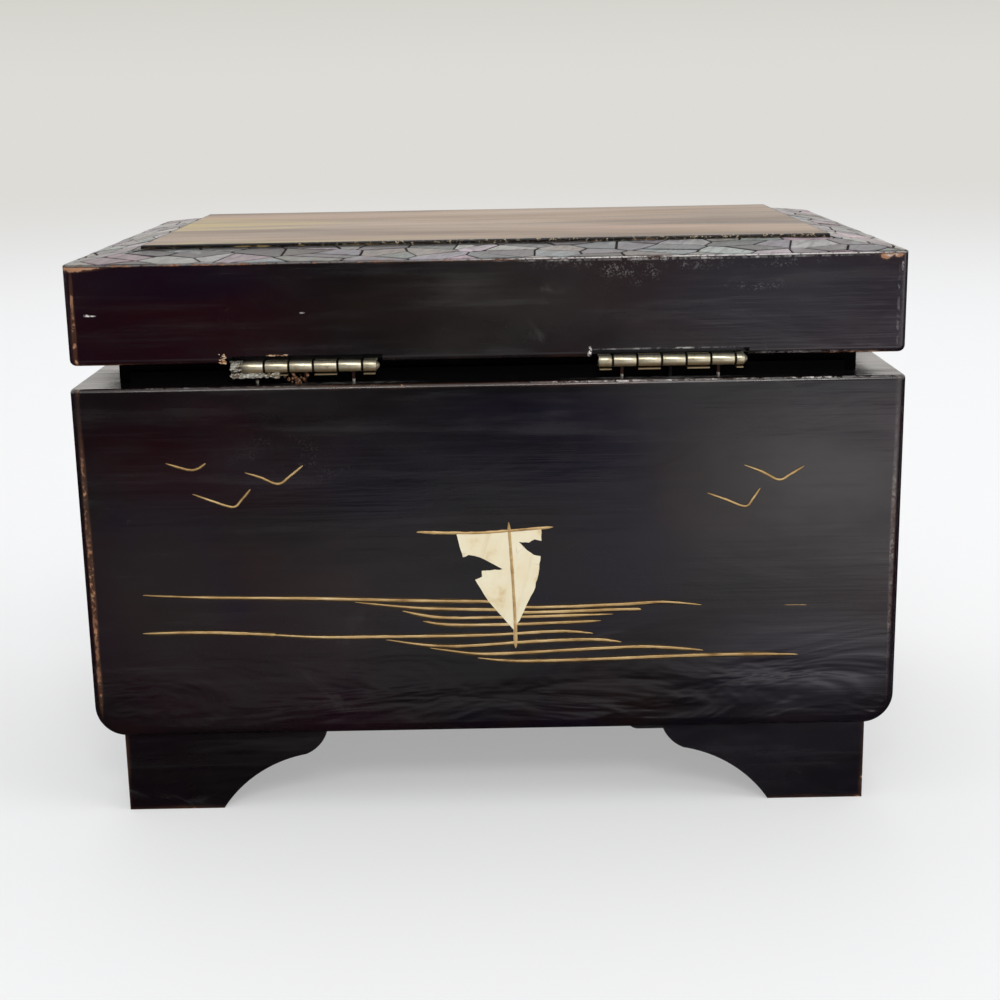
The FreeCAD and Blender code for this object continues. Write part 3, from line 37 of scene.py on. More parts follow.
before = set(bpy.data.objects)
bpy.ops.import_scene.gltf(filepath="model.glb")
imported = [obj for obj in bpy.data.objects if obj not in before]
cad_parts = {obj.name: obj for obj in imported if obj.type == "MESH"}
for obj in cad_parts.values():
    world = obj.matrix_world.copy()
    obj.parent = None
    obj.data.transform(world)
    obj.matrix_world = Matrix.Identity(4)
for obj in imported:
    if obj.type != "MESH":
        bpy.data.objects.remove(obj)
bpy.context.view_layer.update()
MM = 0.001

# Camera, as fitted to the corners of lid, rim, case and feet
CAMERA_PLACE = (-2.9 * MM, 567.8 * MM, 214.3 * MM)
CAMERA_PITCH = 0.24
CAMERA_ROLL = 0.018
CAMERA_LENS = 60.8
SENSOR_WIDTH = 36.0

# Planes and edges that the dressing sits on, read from the frame
BACK_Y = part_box("case_back")[1].y
RIM_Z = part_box("case_back")[1].z
CASE_LOW, CASE_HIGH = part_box("case_left")[0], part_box("case_right")[1]
LID_LOW, LID_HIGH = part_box("lid_left_rail")[0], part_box("lid_right_rail")[1]
SHELL_LOW, SHELL_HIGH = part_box("shell_border")
PANEL_LOW, PANEL_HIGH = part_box("lid_panel")
SHELL_THICKNESS = 0.8 * MM
LID_EDGE_Z = SHELL_LOW.z + SHELL_THICKNESS
LID_CORNER = 2.5 * MM
HINGE_Y = sum(corner.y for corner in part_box("hinge_pin_right")) / 2
HINGE_Z = sum(corner.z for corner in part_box("hinge_pin_right")) / 2
BARREL_RADIUS = 1.7 * MM
# knuckles of a hinge from the middle of the box outwards; the lower leaf has the first and every second one
KNUCKLES = [4.1 * MM] + [7.1 * MM] * 5 + [2.6 * MM]
FIRST_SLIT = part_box("hinge_lower_leaf_right")[0].x + KNUCKLES[0]
NOTCH_TOP = LID_LOW.z + 2.2 * MM

# Colours, all of them linear
LACQUER_BLACK = (0.0042, 0.0028, 0.0035)
LACQUER_PLUM = (0.0098, 0.0020, 0.0054)
LACQUER_WINE = (0.0125, 0.0014, 0.0032)
LACQUER_BLUE = (0.0034, 0.0018, 0.0090)
LACQUER_UMBER = (0.0125, 0.0082, 0.0068)
LACQUER_SMOKE = (0.0120, 0.0100, 0.0150)
LACQUER_PITCH = (0.0016, 0.0012, 0.0018)
LACQUER_RED = (0.0145, 0.0046, 0.0044)
LACQUER_BROWN = (0.088, 0.036, 0.016)
RIM_BLACK = (0.005, 0.0035, 0.0035)
WOOD_WORN = (0.27, 0.100, 0.034)
WOOD_PALE = (0.47, 0.24, 0.12)
SCUFF = (0.20, 0.19, 0.19)
# pale colour of small nick marks and of the painted highlights along edges
PALE_NICK_AND_HIGHLIGHT = (0.72, 0.68, 0.64)
# pale colour of the painted highlight along the lid's outer edge
PAINTED_EDGE_HIGHLIGHT = (0.62, 0.58, 0.56)
HORIZON = (0.73, 0.715, 0.68)


def feed(socket, value):
    """Link a socket to another one, or set its value."""
    if isinstance(value, bpy.types.NodeSocket):
        socket.id_data.links.new(value, socket)
    elif isinstance(value, (tuple, list)) and socket.type == "RGBA":
        socket.default_value = (*value[:3], 1.0)
    else:
        socket.default_value = value


def add_node(tree, kind, inputs=(), **settings):
    """New shader node, with inputs by name or number and settings by name."""
    made = tree.nodes.new("ShaderNode" + kind)
    for name, value in settings.items():
        setattr(made, name, value)
    for key, value in dict(inputs).items():
        feed(made.inputs[key], value)
    return made


def result(kind, inputs, output=0, **settings):
    """Output of a new node, in the tree of the first socket among its inputs."""
    tree = next(value.id_data for value in inputs.values() if isinstance(value, bpy.types.NodeSocket))
    return add_node(tree, kind, inputs, **settings).outputs[output]


def maths(operation, a, b=0.0, clamp=False):
    return result("Math", {0: a, 1: b}, operation=operation, use_clamp=clamp)


def product(*values):
    return functools.reduce(functools.partial(maths, "MULTIPLY"), values)


def total(*values):
    return functools.reduce(functools.partial(maths, "ADD"), values)


def most(*values):
    return functools.reduce(functools.partial(maths, "MAXIMUM"), values)


def vector(operation, a, b=(0, 0, 0), output=0):
    return result("VectorMath", {0: a, 1: b}, output, operation=operation)


def parts(place):
    """x, y and z of a place."""
    return add_node(place.id_data, "SeparateXYZ", {0: place}).outputs


def step(value, low, high):
    """0 at low, 1 at high and smooth between; low may be the larger one."""
    inputs = {"Value": value, "From Min": low, "From Max": high}
    return result("MapRange", inputs, interpolation_type="SMOOTHSTEP")


def levels(value, low, high):
    """Spread a 0 to 1 value over another range."""
    return result("MapRange", {"Value": value, "To Min": low, "To Max": high})


def ramp(value, *stops):
    """Colour from (position, colour) stops."""
    made = add_node(value.id_data, "ValToRGB", {0: value})
    elements = made.color_ramp.elements
    while len(elements) < len(stops):
        elements.new(0.5)
    for element, (position, colour) in zip(elements, stops):
        element.position = position
        element.color = (*colour, 1.0)
    return made.outputs[0]


def mix(share, a, b):
    """Colour a, or b where the share is 1."""
    return result("Mix", {0: share, 6: a, 7: b}, 2, data_type="RGBA")


def over(tone, colour, *shares):
    """A colour laid over a tone, as far as the product of the shares."""
    return mix(product(*shares), tone, colour)


def bump(height, distance, strength=1.0, below=None):
    """Normal of a relief, over another relief if one is given."""
    inputs = {"Height": height, "Distance": distance, "Strength": strength}
    if below is not None:
        inputs["Normal"] = below
    return result("Bump", inputs)


class Shading:
    """Places and noise that the nodes of a material or of the world start from."""

    def __init__(self, tree, place):
        self.tree = tree
        self.place = self.source("TexCoord").outputs[place]
        self.flow = self.place

    def source(self, kind, inputs=(), **settings):
        return add_node(self.tree, kind, inputs, **settings)

    def scaled(self, stretch, turn=(0, 0, 0)):
        """The place that noise follows, turned and then stretched by a factor per axis."""
        turned = self.flow
        if any(turn):
            inputs = {"Vector": turned, "Rotation": turn}
            turned = result("VectorRotate", inputs, rotation_type="EULER_XYZ")
        return vector("MULTIPLY", turned, stretch)

    def noise(self, scale, detail=3.0, rough=0.5, stretch=(1, 1, 1), turn=(0, 0, 0), warp=0.0):
        inputs = {"Vector": self.scaled(stretch, turn), "Scale": scale, "Detail": detail,
                  "Roughness": rough, "Distortion": warp}
        return result("TexNoise", inputs, "Fac")

    def cells(self, scale, feature="F1"):
        """Distance to the middle of a cell, or to its edge."""
        return result("TexVoronoi", {"Vector": self.place, "Scale": scale}, "Distance", feature=feature)

    def along_boards(self):
        """The place with x and y exchanged on faces that look along x, so grain runs along every board."""
        x, y, z = parts(self.place)
        exchanged = result("CombineXYZ", {0: y, 1: x, 2: z})
        sideways = maths("ABSOLUTE", parts(self.source("TexCoord").outputs["Normal"])["X"])
        inputs = {0: step(sideways, 0.70, 0.72), 4: self.place, 5: exchanged}
        return result("Mix", inputs, 1, data_type="VECTOR")

    def axis(self, name):
        return parts(self.place)[name]

    def zone(self, centre, reach):
        """1 near a point, falling to 0 at the given distances from it along x, y and z."""
        away = vector("DIVIDE", vector("SUBTRACT", self.place, centre), reach)
        return step(vector("LENGTH", away, output="Value"), 1.0, 0.35)

    def edge_closeness(self, low, high, width):
        """1 on the edges of a box and 0 further than width from all of them."""
        centre, half = (low + high) / 2, (high - low) / 2
        offset = vector("ABSOLUTE", vector("SUBTRACT", self.place, tuple(centre)))
        depth = vector("SUBTRACT", offset, tuple(half - Vector((width,) * 3)))
        near = vector("DIVIDE", depth, (width,) * 3)
        x, y, z = parts(vector("MAXIMUM", vector("MINIMUM", near, (1, 1, 1)), (0, 0, 0)))
        return most(product(x, y), product(y, z), product(x, z))


class Surface(Shading):
    """A material being made, with its shader."""

    def __init__(self, name, **settings):
        self.material = bpy.data.materials.new(name)
        self.material.use_nodes = True
        super().__init__(self.material.node_tree, "Object")
        self.shader = self.tree.nodes["Principled BSDF"]
        self.set(**settings)

    def set(self, **settings):
        """Set or feed the shader's sockets; coat_weight stands for Coat Weight, and so on."""
        titles = {socket.name.lower().replace(" ", "_"): socket for socket in self.shader.inputs}
        for name, value in settings.items():
            feed(titles[name], value)

    def finished(self, **settings):
        """Set the last sockets and return the material."""
        self.set(**settings)
        return self.material


# a pale mark longer than this, such as a painted highlight along an edge, is broken up along its length
LONG_PALE_MARK = 5 * MM


def lacquer(name, low, high, wear=0.42, wear_width=3 * MM, plum=(0.50, 0.66), ripple=1.0,
            zones=(), nicks_and_highlights=(), dusty=(), clouds=()):
    """Aged glossy lacquer on a box-shaped form, rubbed brown and then bare along that form's edges.
    Zones are (centre, reach, strength) of more wear, nicks_and_highlights the same of pale marks, which are
    small nick marks and painted highlights along edges, dusty is (centre, reach) of powdery specks, and
    clouds are (centre, reach, strength, colour)."""
    made = Surface(name, specular_ior_level=0.72, coat_weight=0.25, coat_roughness=0.05)
    made.flow = made.along_boards()
    cloudy = made.noise(14, 5, 0.6, stretch=(0.7, 1, 1.5))
    other = made.noise(9, 4, 0.55, turn=(0.4, 0.3, 0.8))
    tone = mix(product(step(cloudy, 0.46, 0.70), 0.8), LACQUER_BLACK, LACQUER_RED)
    tone = over(tone, LACQUER_PLUM, step(other, *plum))
    inky = step(made.noise(17, 4, 0.6, turn=(0.2, 0.9, 0.1)), 0.52, 0.66)
    tone = over(tone, LACQUER_BLUE, inky, 0.7)
    for *spot, strength, colour in clouds:
        tone = over(tone, colour, made.zone(*spot), step(cloudy, 0.30, 0.55), strength)
    wisps = made.noise(60, 6, 0.62, stretch=(0.5, 1, 1), turn=(0, 0.5, 0), warp=1.2)
    wisps = product(step(wisps, 0.56, 0.74), step(made.noise(19, 2), 0.52, 0.66))
    tone = over(tone, SCUFF, wisps, 0.11)

    patches = made.noise(75, 5, 0.62)
    fine = made.noise(560, 5, 0.66)
    exposed = product(made.edge_closeness(low, high, wear_width), wear)
    for *spot, strength in zones:
        exposed = total(exposed, product(made.zone(*spot), strength))
    uneven = total(exposed, levels(patches, -0.30, 0.30))
    torn = total(uneven, levels(fine, -0.55, 0.55))
    rubbed = product(step(uneven, 0.12, 0.60), step(exposed, 0.02, 0.2))
    bare = product(step(torn, 0.50, 0.62), step(exposed, 0.08, 0.34))
    tone = over(tone, LACQUER_BROWN, rubbed, 0.7)
    wood = ramp(made.noise(170, 5, stretch=(0.12, 1, 1)), (0.3, LACQUER_BROWN), (0.48, WOOD_WORN),
                (0.74, WOOD_PALE))
    tone = over(tone, wood, bare)

    specks = step(made.noise(1700, 3, 0.6), 0.52, 0.62)
    clotted = step(made.noise(210, 4, 0.7), 0.46, 0.62)
    where = product(step(made.noise(31), 0.60, 0.72), clotted, 0.16)
    for spot in dusty:
        where = most(where, product(made.zone(*spot), clotted))
    marks = product(specks, where)
    tone = over(tone, SCUFF, marks, 0.36)
    streaks = step(made.noise(210, 5, 0.6, stretch=(0.07, 1, 1)), 0.50, 0.72)
    tone = over(tone, SCUFF, streaks, 0.020)
    # pale marks: small nick marks in the lacquer, and painted highlights along rounded edges
    for centre, reach, strength in nicks_and_highlights:
        broken = step(fine, 0.42, 0.52)
        if max(reach) > LONG_PALE_MARK:
            broken = product(broken, levels(clotted, 0.25, 1.0))
        tone = over(tone, PALE_NICK_AND_HIGHLIGHT, made.zone(centre, reach), broken, strength)

    smears = made.noise(38, 4, 0.6, stretch=(0.5, 1, 1))
    gloss = levels(step(smears, 0.3, 0.75), 0.15, 0.34)
    gloss = total(gloss, product(wisps, 0.25), product(marks, 0.5), product(streaks, 0.12))
    gloss = maths("ADD", gloss, product(bare, 0.4), clamp=True)
    sag = made.noise(24, 2, stretch=(0.5, 1, 1), warp=0.5)
    low_down = step(made.axis("Z"), low.z + 38 * MM, low.z)
    waves = made.noise(52, 3, stretch=(0.4, 1, 1.3), warp=0.8)
    grain = made.noise(420, 4, 0.6, stretch=(0.035, 1, 1))
    relief = bump(sag, 1.2 * MM, 0.4)
    relief = bump(product(waves, levels(low_down, 0.12, ripple)), 1.3 * MM, 0.8, relief)
    relief = bump(grain, 0.10 * MM, 0.6, relief)
    relief = bump(product(bare, levels(fine, -1.0, -0.4)), 0.15 * MM, 0.8, relief)
    return made.finished(base_color=tone, roughness=gloss, normal=relief, coat_normal=relief)


def weathered(name, grain, stretch, stops, gloss, relief=None, **settings):
    """A material whose colour, gloss and relief follow one noise: grain is its scale, detail and roughness,
    stops are the colours, gloss the range of the roughness and relief a depth and a strength."""
    made = Surface(name, **settings)
    worn = made.noise(*grain, stretch=stretch)
    if relief:
        made.set(normal=bump(worn, *relief))
    return made.finished(base_color=ramp(worn, *stops), roughness=levels(worn, *gloss))


def liner_paint():
    """Dull black paint of the frame inside the case, with dust in it, laid darker than the case's lacquer
    as painted shade in the gap under the lid.
    """
    stops = [(0.35, (0.0006, 0.0005, 0.0005)), (0.62, (0.0014, 0.0011, 0.0011)),
             (0.80, (0.0075, 0.0062, 0.0056))]
    return weathered("liner_paint", (300, 5, 0.65), (0.2, 1, 1), stops, (0.5, 0.75), (0.08 * MM, 0.6),
                     specular_ior_level=0.07)


def gold_ground():
    """Brown ground that shows round the gold strokes."""
    stops = [(0.35, (0.0140, 0.0075, 0.0030)), (0.52, (0.046, 0.025, 0.0050)),
             (0.72, (0.085, 0.052, 0.0110))]
    return weathered("gold_ground", (260, 5, 0.65), (0.25, 1, 1), stops, (0.25, 0.4),
                     specular_ior_level=0.4)


def splinters():
    """Bare wood of a torn edge."""
    stops = [(0.3, (0.30, 0.13, 0.05)), (0.5, (0.62, 0.42, 0.26)), (0.7, (0.84, 0.74, 0.62))]
    return weathered("splinters", (900, 4, 0.5), (0.2, 1, 1), stops, (0.6, 0.9), (0.15 * MM, 1.0),
                     specular_ior_level=0.2)


def brushed_gold():
    """Gold paint, darker where it has worn thin."""
    made = Surface("gold_brushwork", metallic=0.3)
    worn = made.noise(300, 5, 0.65, stretch=(0.3, 1, 1))
    tone = ramp(worn, (0.28, (0.19, 0.095, 0.028)), (0.42, (0.47, 0.29, 0.11)), (0.6, (0.64, 0.44, 0.20)),
                (0.8, (0.80, 0.63, 0.36)))
    return made.finished(base_color=tone, roughness=levels(worn, 0.35, 0.6),
                         normal=bump(made.noise(900, 3), 0.06 * MM, 0.6))


def sail_cream():
    """Cream paint of the sail, creased, yellowed in clouds and cracked in places."""
    made = Surface("sail_cream", specular_ior_level=0.25)
    flake = made.noise(120, 5, 0.6)
    crease = made.noise(420, 3, stretch=(1, 1, 0.06), turn=(0, 0.25, 0))
    tone = ramp(flake, (0.3, (0.66, 0.50, 0.27)), (0.42, (0.78, 0.68, 0.46)), (0.7, (0.82, 0.75, 0.56)))
    tone = over(tone, (0.60, 0.46, 0.25), step(crease, 0.56, 0.70), 0.35)
    crack = step(made.cells(140, feature="DISTANCE_TO_EDGE"), 0.03, 0.0)
    crack = product(crack, step(made.noise(60), 0.52, 0.64))
    tone = over(tone, (0.30, 0.18, 0.07), crack, 0.6)
    return made.finished(base_color=tone, roughness=levels(flake, 0.6, 0.4),
                         normal=bump(maths("SUBTRACT", flake, crack), 0.12 * MM, 0.7))


def shell_nacre():
    """Mother-of-pearl: each chip's own tint, with growth lines and a clear gloss, and a painted shadow that
    lays the chips near black in a ragged band along the raised panel.
    """
    made = Surface("shell_nacre", specular_ior_level=0.42)
    tint = made.source("VertexColor", layer_name="tint").outputs["Color"]
    growth = made.noise(380, 5, stretch=(1, 0.3, 1), turn=(0, 0, 0.6), warp=1.4)
    cloud = made.noise(150, 3, warp=0.8)
    tone = mix(product(step(growth, 0.66, 0.30), 0.55), tint, (0.022, 0.019, 0.021))
    tone = over(tone, (0.34, 0.38, 0.34), step(cloud, 0.55, 0.78), 0.4)
    # painted shadow: near black over the chips in a ragged band along the raised panel's edge, wider
    # towards +x
    centre, half = (PANEL_LOW + PANEL_HIGH) / 2, (PANEL_HIGH - PANEL_LOW) / 2
    offset = vector("ABSOLUTE", vector("SUBTRACT", made.place, tuple(centre)))
    x, y, _ = parts(vector("SUBTRACT", offset, tuple(half)))
    spread = levels(made.noise(70, 5, 0.7), -3.2 * MM, 3.2 * MM)
    reach = levels(step(made.axis("X"), -60 * MM, 0.0), 0.9 * MM, 3.4 * MM)
    beyond = maths("SUBTRACT", total(most(x, y), spread), reach)
    painted_panel_shadow = step(beyond, 0.3 * MM, -0.3 * MM)
    tone = over(tone, (0.004, 0.0035, 0.0035), painted_panel_shadow, 0.94)
    return made.finished(base_color=tone, roughness=levels(cloud, 0.18, 0.45),
                         normal=bump(growth, 0.22 * MM, 0.8))


def mosaic_bed():
    """Dark grout between the chips, rubbed to the wood along the lid's outer edge, most towards +x, with a
    broken pale painted highlight on that edge's crest, strongest towards -x.
    """
    made = Surface("mosaic_bed", specular_ior_level=0.08)
    dirt = made.noise(500, 5)
    tone = ramp(dirt, (0.35, (0.008, 0.006, 0.006)), (0.6, (0.022, 0.016, 0.014)),
                (0.8, (0.075, 0.050, 0.038)))
    outside = step(made.edge_closeness(SHELL_LOW, SHELL_HIGH, 1.0 * MM), 0.1, 0.5)
    ragged = made.noise(240, 5, 0.7, stretch=(0.5, 0.5, 1))
    grain = made.noise(1500, 4, 0.7)
    # 1 towards -x, where the painted highlight lies, and 0 towards +x
    highlight_side = step(made.axis("X"), 30 * MM, -30 * MM)
    crest = step(made.axis("Z"), SHELL_LOW.z + 0.05 * MM, SHELL_LOW.z + 0.30 * MM)
    rubbed = product(outside, step(ragged, 0.48, 0.60), levels(highlight_side, 0.60, 0.10))
    tone = over(tone, mix(step(grain, 0.45, 0.62), WOOD_WORN, WOOD_PALE), rubbed)
    # painted highlight: a broken pale line on the crest of the outer edge
    tone = over(tone, PAINTED_EDGE_HIGHLIGHT, outside, crest, step(ragged, 0.66, 0.46), step(grain, 0.34, 0.48),
                levels(highlight_side, 0.25, 1.0))
    return made.finished(base_color=tone, roughness=levels(dirt, 0.7, 0.95),
                         normal=bump(dirt, 0.3 * MM, 0.6))


def haze_panel():
    """Brown lacquer with sprinkled gold under a clear coat, near black in a ragged band round its edge."""
    made = Surface("haze_panel", specular_ior_level=0.38)
    bands = made.noise(21, 6, 0.6, stretch=(0.24, 1.5, 1), warp=0.9)
    tone = ramp(bands, (0.30, (0.066, 0.033, 0.017)), (0.44, (0.160, 0.093, 0.050)),
                (0.55, (0.262, 0.168, 0.103)), (0.72, (0.385, 0.285, 0.200)))
    warm = product(step(made.noise(15, 3, stretch=(0.45, 1.8, 1)), 0.50, 0.62),
                   step(made.axis("X"), -20 * MM, 60 * MM))
    tone = over(tone, (0.40, 0.30, 0.085), warm, 0.8)
    rosy = step(made.noise(19, 4, stretch=(0.35, 2.2, 1), turn=(0, 0, 0.1)), 0.57, 0.68)
    tone = over(tone, (0.36, 0.175, 0.105), rosy, 0.40)
    smoke = step(made.noise(30, 5, stretch=(0.3, 2, 1), warp=0.8), 0.56, 0.70)
    tone = over(tone, (0.045, 0.026, 0.020), smoke, 0.65)
    fibres = made.noise(330, 5, 0.65, stretch=(0.045, 1, 1))
    tone = over(tone, (0.070, 0.040, 0.026), step(fibres, 0.48, 0.72), 0.30)
    tone = over(tone, (0.46, 0.36, 0.26), step(fibres, 0.46, 0.30), 0.25)
    where = step(made.noise(34, 4, stretch=(0.6, 1, 1)), 0.40, 0.66)
    flakes = most(step(made.cells(1500), 0.24, 0.12), step(made.cells(760), 0.13, 0.07))
    tone = over(tone, (0.70, 0.50, 0.20), flakes, where, 0.75)
    rim = made.edge_closeness(PANEL_LOW, PANEL_HIGH, 1.6 * MM)
    ragged = total(rim, levels(made.noise(170, 5, 0.65), -0.4, 0.4))
    tone = over(tone, RIM_BLACK, step(ragged, 0.36, 0.56))
    dusted = product(step(made.noise(900, 4, 0.7), 0.55, 0.62), step(rim, 0.3, 0.7),
                     step(made.noise(24), 0.46, 0.58))
    tone = over(tone, (0.52, 0.41, 0.26), dusted, 0.75)
    smear = made.noise(30, 4, stretch=(0.4, 1, 1))
    relief = bump(made.noise(26, 2, stretch=(0.5, 1, 1)), 1.2 * MM, 0.3)
    return made.finished(base_color=tone, roughness=levels(smear, 0.24, 0.48), normal=relief)


def hinge_metal():
    """Thin yellowish plating over brass: cream where it is whole, brown where it has worn through; painted
    shade makes the barrel's lower side brown and the joins between knuckles near black.
    """
    made = Surface("hinge_plating", metallic=0.75)
    cloud = made.noise(330, 5, 0.62)
    # painted shade: the barrel's lower side is tinted brown, as the shade and dark reflection that fall
    # there
    painted_lower_shade = step(made.axis("Z"), HINGE_Z + 0.2 * MM, HINGE_Z - 1.1 * MM)
    tone = ramp(cloud, (0.30, (0.36, 0.27, 0.15)), (0.45, (0.76, 0.69, 0.49)), (0.70, (0.88, 0.83, 0.66)))
    tone = over(tone, (0.33, 0.205, 0.080), painted_lower_shade, levels(cloud, 0.45, 1.0))
    line = made.noise(2600, 2, stretch=(1, 0.06, 0.06))
    tone = over(tone, (0.40, 0.33, 0.20), step(line, 0.5, 0.75), 0.25)
    along = maths("ABSOLUTE", made.axis("X"))
    beside = maths("PINGPONG", maths("SUBTRACT", along, FIRST_SLIT), KNUCKLES[1] / 2)
    above_lip = step(made.axis("Z"), HINGE_Z - 1.66 * MM, HINGE_Z - 1.5 * MM)
    # painted shade: near-black lines where the knuckles meet, above the lips
    painted_knuckle_gap_shade = product(step(beside, 0.46 * MM, 0.24 * MM), above_lip)
    tone = over(tone, (0.012, 0.009, 0.006), painted_knuckle_gap_shade)
    crusted = product(step(made.axis("X"), 68 * MM, 72 * MM), levels(cloud, 0.4, 1.3))
    tone = over(tone, (0.085, 0.066, 0.045), crusted)
    return made.finished(base_color=tone, roughness=levels(cloud, 0.44, 0.28),
                         normal=bump(line, 0.02 * MM, 0.5, bump(cloud, 0.06 * MM, 0.5)))


def nail_metal():
    """Small nails: dark brown under the leaf and bright at the foot; one has rusted all over, one is near
    black.
    """
    made = Surface("nail_metal")
    rust = made.noise(1100, 4)
    # dark brown towards the top of each nail, under the leaf
    upper = step(made.axis("Z"), RIM_Z + 0.4 * MM, RIM_Z + 0.9 * MM)
    # the nail at -x under the hinge is near black
    gone = made.zone((-53 * MM, HINGE_Y, RIM_Z), (6 * MM, 9 * MM, 9 * MM))
    rusty = most(upper, made.zone((53 * MM, HINGE_Y, RIM_Z), (6 * MM, 9 * MM, 9 * MM)), gone)
    rusty = maths("ADD", rusty, levels(rust, -0.15, 0.20), clamp=True)
    tone = mix(rusty, (0.86, 0.82, 0.74), (0.050, 0.019, 0.011))
    tone = over(tone, (0.004, 0.003, 0.003), gone)
    return made.finished(base_color=tone, metallic=levels(rusty, 0.9, 0.0),
                         roughness=levels(rusty, 0.3, 0.9), normal=bump(rust, 0.05 * MM, 0.6))


def metal(name, colour, tarnish, roughness, amount, scale=240, grain=(1, 1, 1)):
    """Worn metal: bright, with an amount of tarnish in clouds of a scale and fine lines along the grain."""
    made = Surface(name, metallic=1.0)
    cloud = made.noise(scale, 5, 0.62)
    line = made.noise(2600, 2, stretch=grain)
    dull = step(cloud, 0.72 - amount * 0.4, 0.86 - amount * 0.4)
    tone = mix(product(dull, min(1.0, amount + 0.3)), colour, tarnish)
    tone = over(tone, tuple(0.6 * c for c in colour), line, 0.25)
    rough = total(levels(cloud, roughness * 0.7, roughness * 1.3), product(dull, 0.25))
    relief = bump(line, 0.02 * MM, 0.5, bump(dull, 0.05 * MM, 0.5))
    return made.finished(base_color=tone, roughness=rough, normal=relief)


def corrosion():
    """Pale green-white crust, rusty towards the middle of the hinge."""
    made = Surface("corrosion", specular_ior_level=0.2)
    grit = made.noise(1400, 5, 0.7)
    patch = made.noise(300, 3)
    tone = ramp(grit, (0.3, (0.085, 0.062, 0.040)), (0.48, (0.36, 0.34, 0.28)), (0.7, (0.74, 0.73, 0.67)))
    rust = ramp(grit, (0.3, (0.030, 0.014, 0.008)), (0.5, (0.15, 0.070, 0.035)), (0.7, (0.40, 0.25, 0.15)))
    inward = step(made.axis("X"), 62 * MM, 58 * MM)
    tone = over(tone, rust, most(inward, step(patch, 0.60, 0.74)))
    return made.finished(base_color=tone, roughness=levels(grit, 0.7, 0.95),
                         normal=bump(grit, 0.25 * MM, 1.0))


def plain_wood(name, dark, light, stretch):
    """Sanded wood; the stretch is small along its grain."""
    made = Surface(name, specular_ior_level=0.25)
    rings = made.noise(95, 6, 0.6, stretch=stretch, warp=0.4)
    pores = made.noise(900, 3, stretch=stretch)
    middle = tuple((d + l) / 2 for d, l in zip(dark, light))
    tone = ramp(rings, (0.3, dark), (0.5, middle), (0.72, light))
    tone = over(tone, dark, step(pores, 0.58, 0.7), 0.5)
    return made.finished(base_color=tone, roughness=levels(rings, 0.5, 0.7),
                         normal=bump(pores, 0.06 * MM, 0.7))


def velvet(name, dark, light):
    """Short pile: brushed patches, a soft sheen and a fine nap."""
    made = Surface(name, specular_ior_level=0.1, sheen_weight=0.6, sheen_roughness=0.35,
                   sheen_tint=tuple(min(1.0, 2.2 * c + 0.08) for c in light))
    brushed = made.noise(42, 4, 0.6, warp=0.5)
    nap = made.noise(2400, 2)
    tone = mix(levels(step(brushed, 0.35, 0.68), 0.25, 0.9), dark, light)
    tone = over(tone, dark, step(nap, 0.5, 0.7), 0.35)
    return made.finished(base_color=tone, roughness=levels(nap, 0.85, 0.95),
                         normal=bump(nap, 0.25 * MM, 0.8))


def looking_glass():
    """Silvered glass with a bevelled edge that has gone a little dark."""
    made = Surface("looking_glass", metallic=1.0)
    low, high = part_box("lid_mirror")
    slope = made.edge_closeness(low, high, 5 * MM)
    worn = made.noise(260, 5, 0.7)
    near_edge = total(made.edge_closeness(low, high, 2 * MM), worn)
    foxed = product(step(near_edge, 1.10, 1.35), 0.8)
    return made.finished(base_color=mix(foxed, (0.86, 0.87, 0.87), (0.16, 0.12, 0.09)),
                         roughness=levels(foxed, 0.03, 0.4), normal=bump(slope, -0.5 * MM, 1.0))


def from_bmesh(name, built):
    """Mesh made of what has been built, with its faces turned outwards."""
    bmesh.ops.recalc_face_normals(built, faces=built.faces)
    mesh = bpy.data.meshes.new(name)
    built.to_mesh(mesh)
    built.free()
    return mesh


def add_walls(built, low, high):
    """Four-sided faces between two rings of vertices."""
    pairs = list(zip(low, high))
    return [built.faces.new((a, b, d, c)) for (a, c), (b, d) in zip(pairs, pairs[1:] + pairs[:1])]


def mesh_piece(name, built, body, material, smooth=None):
    """Make a piece that rides on a body and takes its finish from a slot; edges sharper than smooth,
    in degrees, stay sharp, and without it all faces are flat."""
    mesh = from_bmesh(name, built)
    piece = bpy.data.objects.new(name, mesh)
    bpy.context.scene.collection.objects.link(piece)
    mesh.materials.append(material)
    if smooth is not None:
        mesh.shade_smooth()
        mesh.set_sharp_from_angle(angle=math.radians(smooth))
    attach(piece, body)
    return piece


def carried_over(*starts):
    """The frame's own pieces whose names start so."""
    return [piece for node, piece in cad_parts.items() if node.startswith(starts)]


# vertices this close are one, and an edge sharper than this many degrees is rounded
WELD_REACH = 0.002 * MM
SHARP_DEGREES = 35


def soften(start, width, segments):
    """Round the sharp edges of carried-over pieces a little, as sanding and wear do."""
    for piece in carried_over(start):
        weld = piece.modifiers.new("weld", "WELD")
        weld.merge_threshold = WELD_REACH
        rounded = piece.modifiers.new("rounded", "BEVEL")
        rounded.width = width
        rounded.segments = segments
        rounded.limit_method = "ANGLE"
        rounded.angle_limit = math.radians(SHARP_DEGREES)
        rounded.harden_normals = True


def paint(material, *starts):
    """Give carried-over pieces their material."""
    for piece in carried_over(*starts):
        piece.data.materials.clear()
        piece.data.materials.append(material)


def spline(points, steps):
    """Smooth line through the points of a plane, cut into even shares."""
    ends = [points[0], *points, points[-1]]
    line = []
    for a, b, c, d in zip(ends, ends[1:], ends[2:], ends[3:]):
        for number in range(steps):
            t = number / steps
            line.append(tuple(0.5 * (2 * q + (r - p) * t + (2 * p - 5 * q + 4 * r - s) * t * t
                                     + (3 * q - p - 3 * r + s) * t ** 3)
                              for p, q, r, s in zip(a, b, c, d)))
    line.append(tuple(points[-1]))
    return line


